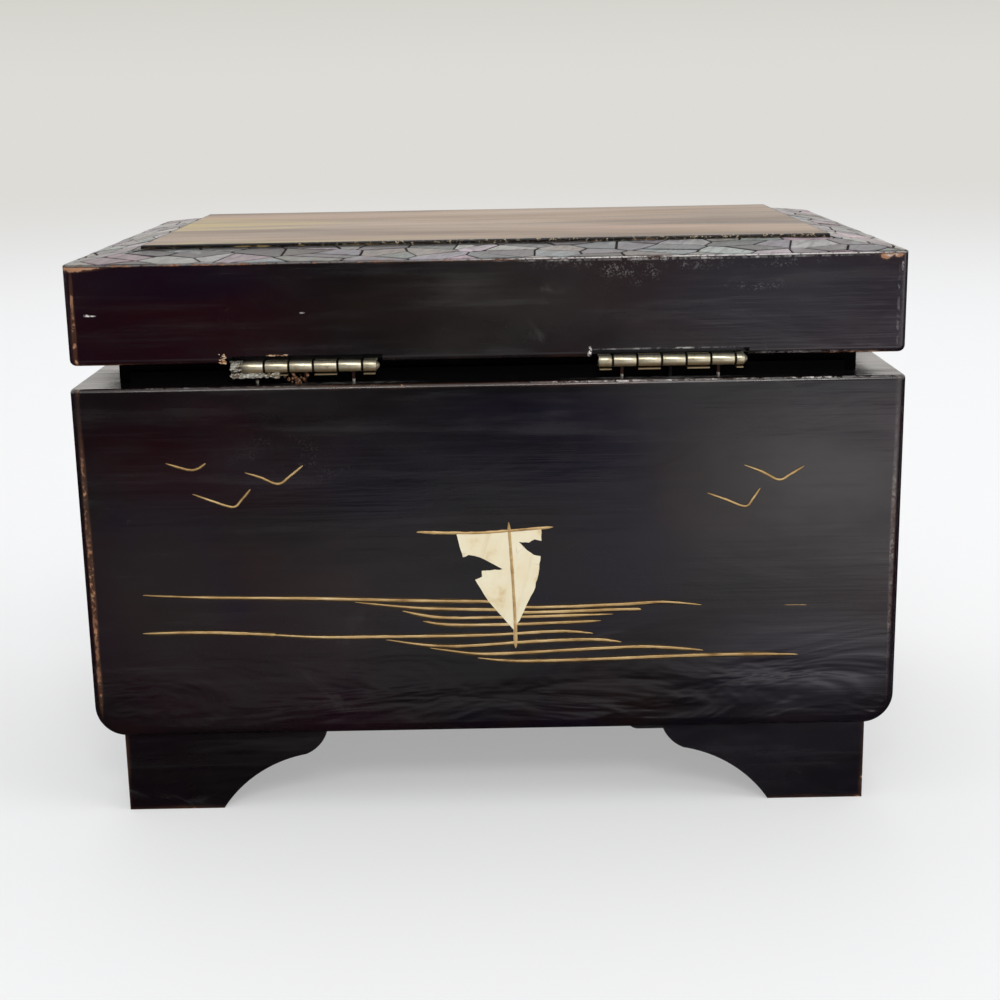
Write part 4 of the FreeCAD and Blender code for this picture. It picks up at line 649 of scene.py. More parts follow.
# Ornament on the back, in millimetres on that face: (x, z) points, left to right as seen there
BIRDS = [
    [(94.2, 109.5), (90.9, 108.4), (87.2, 107.4), (84.9, 107.8), (82.6, 109.3)],
    [(86.9, 100.2), (81.3, 98.0), (75.3, 96.1), (72.6, 98.3), (69.9, 101.4)],
    [(71.3, 106.3), (66.7, 104.8), (61.8, 102.8), (58.2, 105.1), (54.3, 108.2)],
    [(-74.3, 106.0), (-79.5, 103.9), (-84.5, 101.4), (-87.9, 103.0), (-91.8, 105.4)],
    [(-63.6, 97.8), (-69.1, 95.7), (-74.8, 93.6), (-77.1, 96.0), (-79.1, 99.0)],
]
WATER = [
    [(103.5, 69.6), (87.2, 68.7), (53.8, 67.7), (21.2, 66.4), (-0.5, 65.6), (-10.8, 63.8), (-36.3, 64.1),
     (-50.6, 64.7), (-62.2, 63.6)],
    [(40.6, 66.3), (21.2, 64.1), (-2.8, 63.1), (-10.8, 62.2), (-39.5, 62.6), (-44.3, 62.5)],
    [(26.7, 63.3), (15.5, 61.1), (-4.4, 60.8), (-35.9, 61.2)],
    [(20.7, 60.0), (11.6, 58.7), (-9.9, 58.6), (-32.3, 59.2)],
    [(104.3, 57.7), (85.8, 57.7), (68.4, 56.8), (64.5, 56.5)],
    [(71.0, 57.0), (53.0, 55.7), (35.9, 55.4), (3.8, 55.3), (-17.1, 56.1), (-23.5, 56.0), (-29.9, 55.3)],
    [(31.8, 54.4), (13.3, 52.0), (-12.3, 53.1), (-29.9, 53.4), (-38.5, 52.4)],
    [(18.8, 51.6), (5.4, 49.6), (-8.2, 49.6), (-36.3, 50.7), (-48.3, 50.7), (-62.9, 49.4)],
    [(4.6, 48.2), (-7.4, 47.0), (-28.3, 47.1), (-52.3, 47.7), (-76.4, 47.9), (-91.3, 47.5)],
]
FAINT_STROKE = [(-86.8, 63.1), (-93.6, 63.0)]
YARD = [(21.8, 87.5), (12.9, 87.1), (3.2, 86.9), (-7.4, 87.5), (-18.4, 88.3)]
MAST = [(-5.3, 90.0), (-6.1, 75.6), (-6.7, 61.6), (-6.8, 51.1)]
# the sail's outline with the two places where it has flaked off
SAIL = [(10.1, 86.8), (8.4, 79.6), (6.7, 80.3), (3.4, 79.5), (0.9, 78.2), (-3.4, 75.7), (2.9, 75.3),
        (2.8, 73.5), (4.9, 72.6), (1.1, 65.9), (-6.5, 56.6), (-10.0, 64.0), (-12.5, 68.9), (-14.0, 74.7),
        (-14.6, 79.5), (-12.6, 79.9), (-10.6, 81.4), (-8.2, 84.0), (-11.2, 83.7), (-12.9, 84.7),
        (-14.9, 84.2), (-14.9, 87.8)]
# how far the ornament's underside sinks into the face, and the steps between two points of a stroke
SINK = 0.03 * MM
STROKE_STEPS = 8
# the sail's edge has a corner this often and strays this far, in millimetres as the outline is
FLAKE_STEP = 1.2
FLAKE_RAGGED = 0.12


def add_stroke(built, points, width, chance, taper=0.25, rise=0.12 * MM):
    """One brush stroke on the back: a low ridge that swells from a point and thins out again."""
    line = spline([(x * MM, z * MM) for x, z in points], STROKE_STEPS)
    rings = []
    for number, (x, z) in enumerate(line):
        before, after = line[max(0, number - 1)], line[min(len(line) - 1, number + 1)]
        along = Vector((after[0] - before[0], after[1] - before[1])).normalized()
        share = number / (len(line) - 1)
        fullness = min(1.0, share / taper, (1 - share) / (taper * 0.6)) ** 0.6
        half = width * MM / 2 * (0.16 + 0.84 * fullness) * chance.uniform(0.86, 1.12)
        across = Vector((-along.y, along.x)) * half
        drift = chance.uniform(-0.03, 0.03) * MM
        profile = ((-1, -SINK), (-0.55, rise * 0.8), (0.0, rise), (0.55, rise * 0.8), (1, -SINK))
        rings.append([built.verts.new((x + across.x * side, BACK_Y + lift, z + across.y * side + drift))
                      for side, lift in profile])
    for ring, following in zip(rings, rings[1:]):
        add_walls(built, ring, following)
    for ring in (rings[0], rings[-1]):
        built.faces.new(ring)


def add_flake(built, outline, rise, chance):
    """Thin flake with a slightly ragged outline on the back; the outline is in millimetres."""
    edge = []
    for (ax, az), (bx, bz) in zip(outline, outline[1:] + outline[:1]):
        pieces = max(1, round(math.hypot(bx - ax, bz - az) / FLAKE_STEP))
        for number in range(pieces):
            share = number / pieces
            wobble = chance.uniform(-FLAKE_RAGGED, FLAKE_RAGGED) if number else 0.0
            edge.append(((ax + (bx - ax) * share + wobble) * MM, (az + (bz - az) * share + wobble) * MM))
    low = [built.verts.new((x, BACK_Y - SINK, z)) for x, z in edge]
    high = [built.verts.new((x, BACK_Y + rise, z)) for x, z in edge]
    for corners in tessellate_polygon([[Vector((x, z, 0)) for x, z in edge]]):
        for layer in (low, high):
            built.faces.new([layer[corner] for corner in corners])
    add_walls(built, low, high)


def make_back_ornament(gold, ground, cream):
    """Birds, water and a boat in brushed gold on a brown ground, with a flaked cream sail."""
    chance = random.Random(11)

    def brushwork(name, material, *strokes):
        built = bmesh.new()
        for points, width, *form in strokes:
            add_stroke(built, points, width, chance, *form)
        mesh_piece(name, built, "case", material, 40)

    brushwork("stroke_ground", ground, *[(line, 2.15, 0.2, 0.02 * MM) for line in WATER],
              *[(line, 1.35, 0.2, 0.02 * MM) for line in [YARD, MAST] + BIRDS])
    brushwork("gold_birds_and_water", gold, *[(bird, 0.62) for bird in BIRDS],
              *[(line, 0.88, 0.3) for line in WATER], (FAINT_STROKE, 0.22, 0.25, 0.03 * MM))
    built = bmesh.new()
    add_flake(built, SAIL, 0.14 * MM, chance)
    mesh_piece("painted_sail", built, "case", cream)
    brushwork("gold_mast_and_yard", gold, (YARD, 0.95, 0.12, 0.26 * MM), (MAST, 1.25, 0.10, 0.30 * MM))


# Mosaic of shell chips on the sloping margin of the lid
CHIP_LENGTH = 12.5 * MM
CHIP_DEPTH = 7.4 * MM
NEIGHBOUR_REACH = 4 * CHIP_LENGTH
JOINT = 0.31 * MM
CHIP_CHAMFER = 0.16 * MM
BED_DROP = 0.32 * MM
# a side shorter than this doesn't count
SHORTEST_SIDE = 1e-7
CHIP_TINTS = [
    (0.25, 0.24, 0.24), (0.17, 0.155, 0.18), (0.33, 0.225, 0.255), (0.105, 0.095, 0.10),
    (0.22, 0.245, 0.225), (0.30, 0.285, 0.25), (0.15, 0.125, 0.11), (0.13, 0.115, 0.125),
    (0.27, 0.20, 0.225), (0.17, 0.185, 0.19), (0.34, 0.28, 0.31), (0.19, 0.165, 0.145),
    (0.36, 0.35, 0.32),
]


def margin_rise(x, y):
    """How far the lid's margin has risen at a place, from its outer edge towards the panel."""
    inward = min(SHELL_HIGH.x - abs(x), y - SHELL_LOW.y, SHELL_HIGH.y - y)
    share = min(1.0, max(0.0, inward / (PANEL_LOW.x - SHELL_LOW.x)))
    return share * (SHELL_HIGH.z - LID_EDGE_Z)


def clip(polygon, point, normal):
    """Part of a convex polygon on the side of a line that the normal points away from."""
    kept = []
    for a, b in zip(polygon, polygon[1:] + polygon[:1]):
        da, db = (a - point).dot(normal), (b - point).dot(normal)
        if da <= 0:
            kept.append(a)
        if (da < 0 < db) or (db < 0 < da):
            kept.append(a + (b - a) * (da / (da - db)))
    return kept


def inset(polygon, distance):
    """Convex polygon moved inwards by a distance on every side."""
    centre = sum(polygon, Vector((0, 0))) / len(polygon)
    shrunk = list(polygon)
    for a, b in zip(polygon, polygon[1:] + polygon[:1]):
        if (b - a).length < SHORTEST_SIDE:
            continue
        normal = Vector((b.y - a.y, a.x - b.x)).normalized()
        if (centre - a).dot(normal) > 0:
            normal = -normal
        shrunk = clip(shrunk, a - normal * distance, normal)
        if len(shrunk) < 3:
            return []
    return shrunk


def margin_sides():
    """The four mitred strips of the margin, each a polygon seen from above with rounded lid corners."""
    signs = ((-1, -1), (1, -1), (1, 1), (-1, 1))
    outer = [Vector((SHELL_HIGH.x * x, (SHELL_LOW.y, SHELL_HIGH.y)[y > 0])) for x, y in signs]
    inner = [Vector((PANEL_HIGH.x * x, (PANEL_LOW.y, PANEL_HIGH.y)[y > 0])) for x, y in signs]
    for number in range(4):
        following = (number + 1) % 4
        strip = [outer[number], outer[following], inner[following], inner[number]]
        for corner, (x, y) in zip(outer, signs):
            middle = corner - Vector((x, y)) * LID_CORNER
            for degrees in (15, 30, 45, 60, 75):
                away = Vector((x * math.cos(math.radians(degrees)), y * math.sin(math.radians(degrees))))
                strip = clip(strip, middle + away * LID_CORNER, away)
        yield strip, number % 2 == 0


def chip_outlines(chance):
    """Irregular broken chips that fill the margin, from cells round scattered points."""
    for strip, runs_along_x in margin_sides():
        pitch = (CHIP_LENGTH, CHIP_DEPTH) if runs_along_x else (CHIP_DEPTH, CHIP_LENGTH)
        low = Vector((min(p.x for p in strip), min(p.y for p in strip)))
        high = Vector((max(p.x for p in strip), max(p.y for p in strip)))
        columns = math.ceil((high.x - low.x) / pitch[0])
        rows = math.ceil((high.y - low.y) / pitch[1])
        seeds = [Vector((low.x + (column + chance.uniform(-0.5, 0.5)) * pitch[0],
                         low.y + (row + chance.uniform(-0.5, 0.5)) * pitch[1]))
                 for column in range(columns + 1) for row in range(rows + 1)]
        for seed in seeds:
            cell = list(strip)
            for other in seeds:
                gap = other - seed
                if 0 < gap.length < NEIGHBOUR_REACH and cell:
                    normal = Vector((gap.x / pitch[0] ** 2, gap.y / pitch[1] ** 2)).normalized()
                    cell = clip(cell, (seed + other) / 2, normal)
            if len(cell) >= 3:
                yield cell


def add_chip(built, outline, tint, chance, layer):
    """One chip on the margin: a chamfered flake that lies a little askew, tinted in a colour layer."""
    shrunk = inset(outline, JOINT * chance.uniform(0.7, 1.5))
    top = inset(shrunk, CHIP_CHAMFER) if shrunk else []
    if len(top) < 3:
        return
    centre = sum(shrunk, Vector((0, 0))) / len(shrunk)
    lean = Vector((chance.uniform(-1, 1), chance.uniform(-1, 1))) * 0.02
    sunk = chance.uniform(0.0, 0.12) * MM

    def place(point, drop):
        lowered = sunk + drop + max(0.0, (point - centre).dot(lean))
        return (point.x, point.y, LID_EDGE_Z + margin_rise(point.x, point.y) - lowered)

    foot = [built.verts.new(place(p, BED_DROP + 0.3 * MM)) for p in shrunk]
    edge = [built.verts.new(place(p, CHIP_CHAMFER)) for p in shrunk]
    cap = [built.verts.new(place(p, 0.0)) for p in top]
    faces = [built.faces.new(cap)] + add_walls(built, foot, edge)

    def by_angle(vertices):
        return sorted(((math.atan2(v.co.y - centre.y, v.co.x - centre.x), v) for v in vertices),
                      key=lambda item: item[0])

    faces += bridge(built, by_angle(edge), by_angle(cap))
    for face in faces:
        for loop in face.loops:
            loop[layer] = (*tint, 1.0)


def bridge(built, outer, inner):
    """Triangles between two rings of (angle, vertex) that may differ in their number of corners."""
    faces = []
    a, b = 0, 0
    while a < len(outer) or b < len(inner):
        next_outer = outer[(a + 1) % len(outer)][0] + (math.tau if a + 1 >= len(outer) else 0)
        next_inner = inner[(b + 1) % len(inner)][0] + (math.tau if b + 1 >= len(inner) else 0)
        here_outer, here_inner = outer[a % len(outer)][1], inner[b % len(inner)][1]
        if b >= len(inner) or (a < len(outer) and next_outer <= next_inner):
            corner = outer[(a + 1) % len(outer)][1]
            a += 1
        else:
            corner = inner[(b + 1) % len(inner)][1]
            b += 1
        if len({here_outer, here_inner, corner}) == 3:
            faces.append(built.faces.new((here_outer, corner, here_inner)))
    return faces


def make_mosaic(nacre, bed):
    """The shell chips of the lid's margin and the bed that they lie in."""
    chance = random.Random(5)
    built = bmesh.new()
    layer = built.loops.layers.float_color.new("tint")
    for outline in chip_outlines(chance):
        shade = chance.uniform(0.42, 1.45)
        tint = tuple(min(1.0, c * shade) for c in chance.choice(CHIP_TINTS))
        add_chip(built, outline, tint, chance, layer)
    chips = mesh_piece("shell_chips", built, "lid", nacre)

    built = bmesh.new()
    for strip, _ in margin_sides():
        rises = [margin_rise(p.x, p.y) for p in strip]
        low = [built.verts.new((p.x, p.y, SHELL_LOW.z + rise)) for p, rise in zip(strip, rises)]
        high = [built.verts.new((p.x, p.y, LID_EDGE_Z + rise - BED_DROP)) for p, rise in zip(strip, rises)]
        built.faces.new(high)
        built.faces.new(low)
        add_walls(built, low, high)
    backing = mesh_piece("mosaic_backing", built, "lid", bed)
    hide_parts("shell_border")
    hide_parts("shell_border")


def add_lump(built, centre, size, chance, rounds=2):
    """Small irregular lump."""
    lump = bmesh.ops.create_icosphere(built, subdivisions=rounds, radius=1.0)
    offset = Vector((chance.uniform(-50, 50), chance.uniform(-50, 50), chance.uniform(-50, 50)))
    for vertex in lump["verts"]:
        bulge = 1 + 0.6 * noise.noise(vertex.co * 1.9 + offset)
        vertex.co = Vector(centre) + Vector([c * s * bulge for c, s in zip(vertex.co, size)])


def add_bar(built, low, high):
    """Small block between two corners, with its top a little narrower."""
    ring = [(low[0], low[1]), (high[0], low[1]), (high[0], high[1]), (low[0], high[1])]
    lean = 0.06 * MM
    foot = [built.verts.new((x, y, low[2])) for x, y in ring]
    head = [built.verts.new((x + (lean if x == low[0] else -lean), y, high[2])) for x, y in ring]
    built.faces.new(foot)
    built.faces.new(head)
    add_walls(built, foot, head)


def make_leaf_lips(plating):
    """The lower leaves' turned edges, seen as thin lips under every second knuckle, and the pins' ends."""
    built = bmesh.new()
    for side in ("left", "right"):
        low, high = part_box(f"hinge_lower_leaf_{side}")
        sign = 1 if low.x > 0 else -1
        start = min(abs(low.x), abs(high.x))
        for number, length in enumerate(KNUCKLES):
            if number % 2 == 0:
                ends = sorted((sign * (start + 0.3 * MM), sign * (start + length - 0.3 * MM)))
                add_bar(built, (ends[0], HINGE_Y - 1.5 * MM, low.z - 0.80 * MM),
                        (ends[1], HINGE_Y + 1.15 * MM, low.z - 0.48 * MM))
            start += length
        length = 0.85 * MM
        turn = Matrix.Rotation(math.pi / 2, 4, "Y")
        middle = Matrix.Translation((low.x - length / 2, HINGE_Y, HINGE_Z))
        bmesh.ops.create_cone(built, cap_ends=True, segments=24, depth=length, matrix=middle @ turn,
                              radius1=0.55 * MM, radius2=1.45 * MM)
    mesh_piece("hinge_lips_and_pin_ends", built, "case", plating, 30)


def make_hinge_dressing(crust, torn):
    """Crust of corrosion on the hinge at the +x side, and torn wood round its notch."""
    chance = random.Random(23)
    low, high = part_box("hinge_lower_leaf_right")
    built = bmesh.new()
    # crumbs along the lower leaf, on the end of the barrel and at the nail beside them
    for _ in range(120):
        x = high.x - 0.4 * MM - min(13.0, abs(chance.gauss(0, 6.0))) * MM
        size = chance.uniform(0.22, 0.62) * MM
        y = HINGE_Y + chance.uniform(-0.6, 1.1) * MM
        z = low.z - chance.uniform(0.1, 1.3) * MM
        add_lump(built, (x, y, z), (size * 1.5, size, size * 0.7), chance)
    for _ in range(60):
        angle = chance.uniform(-0.3, 2.2)
        size = chance.uniform(0.10, 0.30) * MM
        add_lump(built, (high.x - chance.uniform(0.1, 3.4) * MM, HINGE_Y + math.sin(angle) * BARREL_RADIUS,
                         HINGE_Z + math.cos(angle) * BARREL_RADIUS), (size * 1.4, size, size), chance)
    for _ in range(24):
        size = chance.uniform(0.2, 0.5) * MM
        add_lump(built, (chance.gauss(55.4, 1.5) * MM, HINGE_Y + chance.uniform(-2.6, 0.6) * MM,
                         RIM_Z + chance.uniform(0.2, 2.9) * MM), (size, size, size * 1.3), chance)
    mesh_piece("hinge_corrosion", built, "case", crust, 60)

    built = bmesh.new()
    places = [(high.x + chance.uniform(0.8, 2.6) * MM, LID_LOW.z + chance.uniform(0.1, 2.9) * MM)
              for _ in range(30)]
    places += [(chance.uniform(55.5, 64.5) * MM, NOTCH_TOP + chance.uniform(0.0, 0.3) * MM)
               for _ in range(22)]
    for x, z in places:
        size = chance.uniform(0.12, 0.3) * MM
        reach = (size * chance.uniform(1.0, 2.4), 0.14 * MM, size * 0.7)
        add_lump(built, (x, LID_HIGH.y - 0.10 * MM, z), reach, chance)
    mesh_piece("torn_notch_edge", built, "lid", torn, 60)


# frames that the cushion's cover has to swell in
CLOTH_FRAMES = 20


def stuffed_rolls(cloth):
    """The ring cushion: five velvet rolls that swell from a slightly slimmer form."""
    low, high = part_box("ring_cushion")
    rolls, slot, side, steps = 5, 3.0 * MM, 1.0 * MM, 10
    straight, round_part = (high.z - low.z) * 0.56, (high.z - low.z) * 0.38
    width = (high.y - low.y - slot * (rolls - 1)) / rolls
    half = width / 2 - 0.6 * MM
    built = bmesh.new()
    for number in range(rolls):
        start = low.y + number * (width + slot)
        profile = [(-half, 0.0), (-half, straight)]
        for part in range(1, steps):
            angle = math.pi * (1 - part / steps)
            profile.append((half * math.cos(angle), straight + round_part * math.sin(angle)))
        profile += [(half, straight), (half, 0.0)]
        ends = [[built.verts.new((x, start + width / 2 + y, low.z + z)) for y, z in profile]
                for x in (low.x + side, high.x - side)]
        for face in ends:
            built.faces.new(face)
        add_walls(built, *ends)
    cushion = mesh_piece("ring_cushion_velvet", built, "case", cloth)
    remesh = cushion.modifiers.new("even", "REMESH")
    remesh.mode = "VOXEL"
    remesh.voxel_size = 2.0 * MM
    apply_modifiers(cushion)
    swell(cushion, pressure=4.0, cap=1.6 * MM, floor=low.z)
    finer = cushion.modifiers.new("finer", "SUBSURF")
    finer.levels = finer.render_levels = 1
    apply_modifiers(cushion)
    box_in(cushion.data, low, high)
    cushion.data.shade_smooth()
    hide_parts("ring_cushion")


def apply_modifiers(piece):
    """Replace a piece's mesh by what its modifiers make of it."""
    bpy.context.view_layer.update()
    seen = piece.evaluated_get(bpy.context.evaluated_depsgraph_get())
    mesh = bpy.data.meshes.new_from_object(seen)
    piece.modifiers.clear()
    piece.data = mesh


def swell(piece, pressure, cap, floor):
    """Blow a cover up a little with a Cloth simulation, no further than the cap, and keep the result."""
    scene = bpy.context.scene
    start = [vertex.co.copy() for vertex in piece.data.vertices]
    cover = piece.modifiers.new("cover", "CLOTH")
    cover.settings.use_pressure = True
    cover.settings.uniform_pressure_force = pressure
    cover.settings.effector_weights.gravity = 0.0
    cover.settings.bending_stiffness = 0.4
    cover.collision_settings.use_collision = False
    for number in range(1, CLOTH_FRAMES + 1):
        scene.frame_set(number)
    seen = piece.evaluated_get(bpy.context.evaluated_depsgraph_get())
    swollen = [vertex.co.copy() for vertex in seen.data.vertices]
    piece.modifiers.clear()
    scene.frame_set(1)
    for vertex, before, after in zip(piece.data.vertices, start, swollen):
        moved = after - before
        if moved.length > cap:
            moved *= cap / moved.length
        vertex.co = before + moved
        vertex.co.z = max(floor, vertex.co.z)


def box_in(mesh, low, high):
    """Keep a mesh inside a box."""
    for vertex in mesh.vertices:
        vertex.co = [min(max(value, least), limit) for value, least, limit in zip(vertex.co, low, high)]


def spots(face_y, rows):
    """Places on an upright face. A row has x, the depth behind the face, z and the reach along x, y and z,
    in millimetres, and then what else the lacquer needs."""
    return [((x * MM, face_y - depth * MM, z * MM), (wide * MM, deep * MM, tall * MM), *rest)
            for x, depth, z, wide, deep, tall, *rest in rows]


def lid_wear():
    """Where the lid's lacquer is worn most, its small pale nick marks, its painted highlights along the top
    and bottom edges and down the corner towards -x, its dust under the top edge and its tints, the one
    towards -x a painted reflection.
    """
    left, right = LID_HIGH.x / MM, LID_LOW.x / MM
    foot, edge, margin, notch = (z / MM for z in (LID_LOW.z, LID_EDGE_Z, SHELL_LOW.z, NOTCH_TOP))
    rows = {
        "zones": [
            (left - 2.3, 0, 147, 1.2, 4, 16, 0.46),
            (left - 2.5, 0, 160, 0.9, 4, 9, 0.32),
            (left - 4, 0, edge, 13, 6, 2.9, 0.66),
            (left - 24, 0, edge + 0.4, 26, 5, 1.3, 0.50),
            (18, 0, edge + 0.2, 88, 5, 1.6, 0.26),
            (right + 3.4, 0, edge - 0.7, 2.8, 5, 2.2, 0.56),
            (right + 6.8, 0, edge - 1.3, 2.5, 5, 2.1, 0.54),
            (right + 14, 0, foot, 18, 4, 1.0, 0.42),
            (left - 12, 0, foot, 16, 4, 0.9, 0.36),
        ],
        "nicks_and_highlights": [
            (113.2, 0, 152.7, 2.1, 1, 0.28, 1.0),
            (114.3, 0, 153.0, 0.9, 1, 0.22, 1.0),
            (52.6, 0, 152.6, 1.0, 1, 0.30, 0.45),
            (right + 1.9, 0, 163.0, 0.5, 2, 1.6, 0.5),
            (right + 5.2, 0, edge - 1.1, 2.4, 2, 0.8, 0.55),
            # painted highlight: a pale line down the lid's corner at -x
            (right + 2.8, 0, 151.0, 0.5, 2, 14, 0.30),
            # painted highlight in the next two rows: a broken pale line along the lid's bottom edge towards
            # -x, carried on along the top of the notch
            (-95, 0.2, foot + 0.6, 26, 1.5, 0.6, 0.30),
            (-52, 0, notch + 0.2, 26, 1.5, 0.4, 0.45),
            # painted highlight: a broken pale line along the lid's top edge towards -x
            (-58, 0, margin - 0.2, 66, 1.5, 0.6, 0.45),
            (-29.5, 0, foot + 1.2, 0.8, 1.5, 2.4, 1.6),
        ],
        "dusty": [(-56, 0, 165.2, 52, 3, 3.0), (-40, 0, 162.4, 14, 3, 4.6), (-78, 0, 158.5, 13, 3, 2.2)],
        "clouds": [
            (88, 0, 150, 60, 9, 24, 0.9, LACQUER_WINE),
            (90, 0, 162, 40, 9, 8, 0.6, LACQUER_BLUE),
            (12, 0, 152, 52, 9, 18, 0.9, LACQUER_UMBER),
            # painted reflection: a lighter grey-purple over the lid's side towards -x, where the lamps
            # light it
            (-84, 0, 156, 50, 9, 18, 0.8, LACQUER_SMOKE),
        ],
    }
    return {kind: spots(LID_HIGH.y, found) for kind, found in rows.items()}


def case_wear():
    """Rubbed lines down the upright corners of the back and along the rim, painted highlights with some
    dust along the rim's back edge and down the corner at -x, a few pale marks on the rim's top, and the
    case's cloudy tints, the grey one low towards -x a painted reflection.
    """
    left, right, rim = CASE_HIGH.x / MM - 2.7, CASE_LOW.x / MM + 2.7, RIM_Z / MM
    rows = {
        "zones": [
            (left, 0, 84, 1.5, 3, 70, 0.46),
            (right, 0, 84, 1.2, 3, 70, 0.30),
            (left, 0, 44, 1.6, 4, 16, 0.24),
            (0, 0.4, rim - 0.4, 100, 1.6, 1.6, 0.16),
        ],
        "nicks_and_highlights": [
            # painted highlight with some dust in the next three rows: broken pale lines along the rim's
            # back edge, strongest towards -x
            (-50, 0.6, rim - 0.2, 52, 0.6, 0.55, 0.9),
            (-100, 0.6, rim - 0.2, 22, 0.6, 0.55, 0.9),
            (80, 0.7, rim - 0.2, 36, 0.5, 0.45, 0.25),
            # painted highlight: a faint pale line down the back's corner at -x
            (right, 0, 84, 0.9, 3, 56, 0.16),
            (40, 4, rim, 26, 3, 1.0, 0.20),
            (-48, 4, rim, 30, 3, 1.0, 0.25),
        ],
        "clouds": [
            (78, 0, 114, 62, 9, 26, 0.9, LACQUER_WINE),
            (30, 0, 106, 30, 9, 22, 0.8, LACQUER_BLUE),
            (-14, 0, 114, 52, 9, 24, 0.9, LACQUER_BLUE),
            (-86, 0, 104, 44, 9, 28, 0.7, LACQUER_UMBER),
            (96, 0, 70, 24, 9, 34, 0.7, LACQUER_UMBER),
            (8, 0, 44, 46, 9, 22, 0.8, LACQUER_PITCH),
            # painted reflection: a lighter grey-purple low on the back towards -x
            (-92, 0, 44, 46, 9, 24, 0.9, LACQUER_SMOKE),
            (62, 0, 108, 26, 9, 12, 0.5, LACQUER_SMOKE),
            (6, 0, 122, 22, 9, 6, 0.4, LACQUER_SMOKE),
            (-20, 0, rim - 2.1, 100, 9, 1.5, 0.9, LACQUER_PITCH),
        ],
    }
    return {kind: spots(BACK_Y, found) for kind, found in rows.items()}


# Width in millimetres and segments of the rounding of carried-over pieces, by how their names start
SOFTENED = {
    "drawer_front": (0.9, 3), "drawer_divider": (0.5, 2), "lid_panel": (0.5, 3), "lid_lining": (1.4, 3),
    "lid_mirror": (0.5, 2), "tray_divider": (1.2, 3), "tray_lining": (0.6, 2), "hinge_upper": (0.14, 2),
    "hinge_lower": (0.14, 2), "winding_key": (0.4, 2), "movement_screws": (0.3, 2),
}


def paint_frame(cloth, hinge):
    """Materials and softened edges of the pieces that come from the frame."""
    paint(lacquer("case_lacquer", CASE_LOW, CASE_HIGH, wear=0.22, plum=(0.54, 0.70), ripple=1.9,
                  **case_wear()), "case_")
    paint(lacquer("lid_lacquer", LID_LOW, Vector((LID_HIGH.x, LID_HIGH.y, LID_EDGE_Z)), wear=0.26,
                  wear_width=2.4 * MM, plum=(0.42, 0.62), ripple=0.3, **lid_wear()),
          "lid_back", "lid_left", "lid_right", "lid_front", "lid_top")
    paint(lacquer("divider_lacquer", *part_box("drawer_divider"), wear=0.2), "drawer_divider")
    for side in ("left", "right"):
        front = f"drawer_front_{side}"
        paint(lacquer(f"drawer_lacquer_{side}", *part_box(front), wear_width=2.5 * MM), front)
        for end in ("front", "back"):
            foot = f"foot_{end}_{side}"
            low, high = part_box(foot)
            # painted light: feet towards -x take the lighter grey tint and feet towards +x the darkest one,
            # as the lamps light the -x side
            tint = LACQUER_SMOKE if high.x < 0 else LACQUER_PITCH
            clouds = [(tuple((low + high) / 2), (90 * MM, 90 * MM, 40 * MM), 0.7, tint)]
            # the top joins the case, so the form ends higher up and shows no wear there
            joined = high + Vector((0, 0, 5 * MM))
            paint(lacquer(f"{foot}_lacquer", low, joined, wear=0.40, wear_width=2.0 * MM, plum=(0.42, 0.60),
                          clouds=clouds), foot)
    paint(liner_paint(), "liner_")
    paint(haze_panel(), "lid_panel")
    paint(looking_glass(), "lid_mirror")
    paint(cloth, "tray_lining", "tray_divider", "lid_lining", "ring_cushion", "drawer_lining")
    boards = plain_wood("drawer_wood", (0.26, 0.14, 0.065), (0.60, 0.42, 0.24), (0.05, 1, 1))
    paint(boards, "drawer_walls", "drawer_bottom", "tray_floor", "movement_partition")
    paint(hinge, "hinge_upper", "hinge_lower", "hinge_pin")
    paint(nail_metal(), "hinge_nails")
    knobs = metal("knob_brass", (0.86, 0.62, 0.26), (0.22, 0.12, 0.045), 0.16, 0.25, 180)
    paint(knobs, "drawer_knob")
    works = metal("works_brass", (0.84, 0.64, 0.30), (0.35, 0.22, 0.09), 0.24, 0.2, 160)
    paint(works, "music_cylinder", "drive_wheel", "governor_wheel", "governor_fly")
    casting = metal("works_casting", (0.52, 0.52, 0.51), (0.30, 0.29, 0.28), 0.45, 0.4, 300)
    paint(casting, "movement_bedplate", "governor_frame")
    steel = metal("bright_steel", (0.66, 0.66, 0.67), (0.32, 0.28, 0.25), 0.25, 0.2, grain=(0.03, 1, 1))
    paint(steel, "spring_housing", "mainspring", "music_comb", "comb_screws", "movement_screws", "winding_",
          "stop_rod")
    for start, (width, segments) in SOFTENED.items():
        soften(start, width * MM, segments)


# Floor, backdrop and lamps
FLOOR_RADIUS = 8.0
FLOOR_DROP = 0.1 * MM
LAMP_TARGET = Vector((0, 0, 0.09))
# name, place, size and power of each lamp
LAMPS = [
    ("key", (-0.36, 1.95, 1.60), 0.50, 9.0), ("fill", (0.34, 1.85, 1.50), 0.36, 4.0),
    ("side", (-1.4, 0.6, 1.2), 1.0, 6.0), ("top", (0.1, -0.9, 1.7), 1.4, 7.0),
]


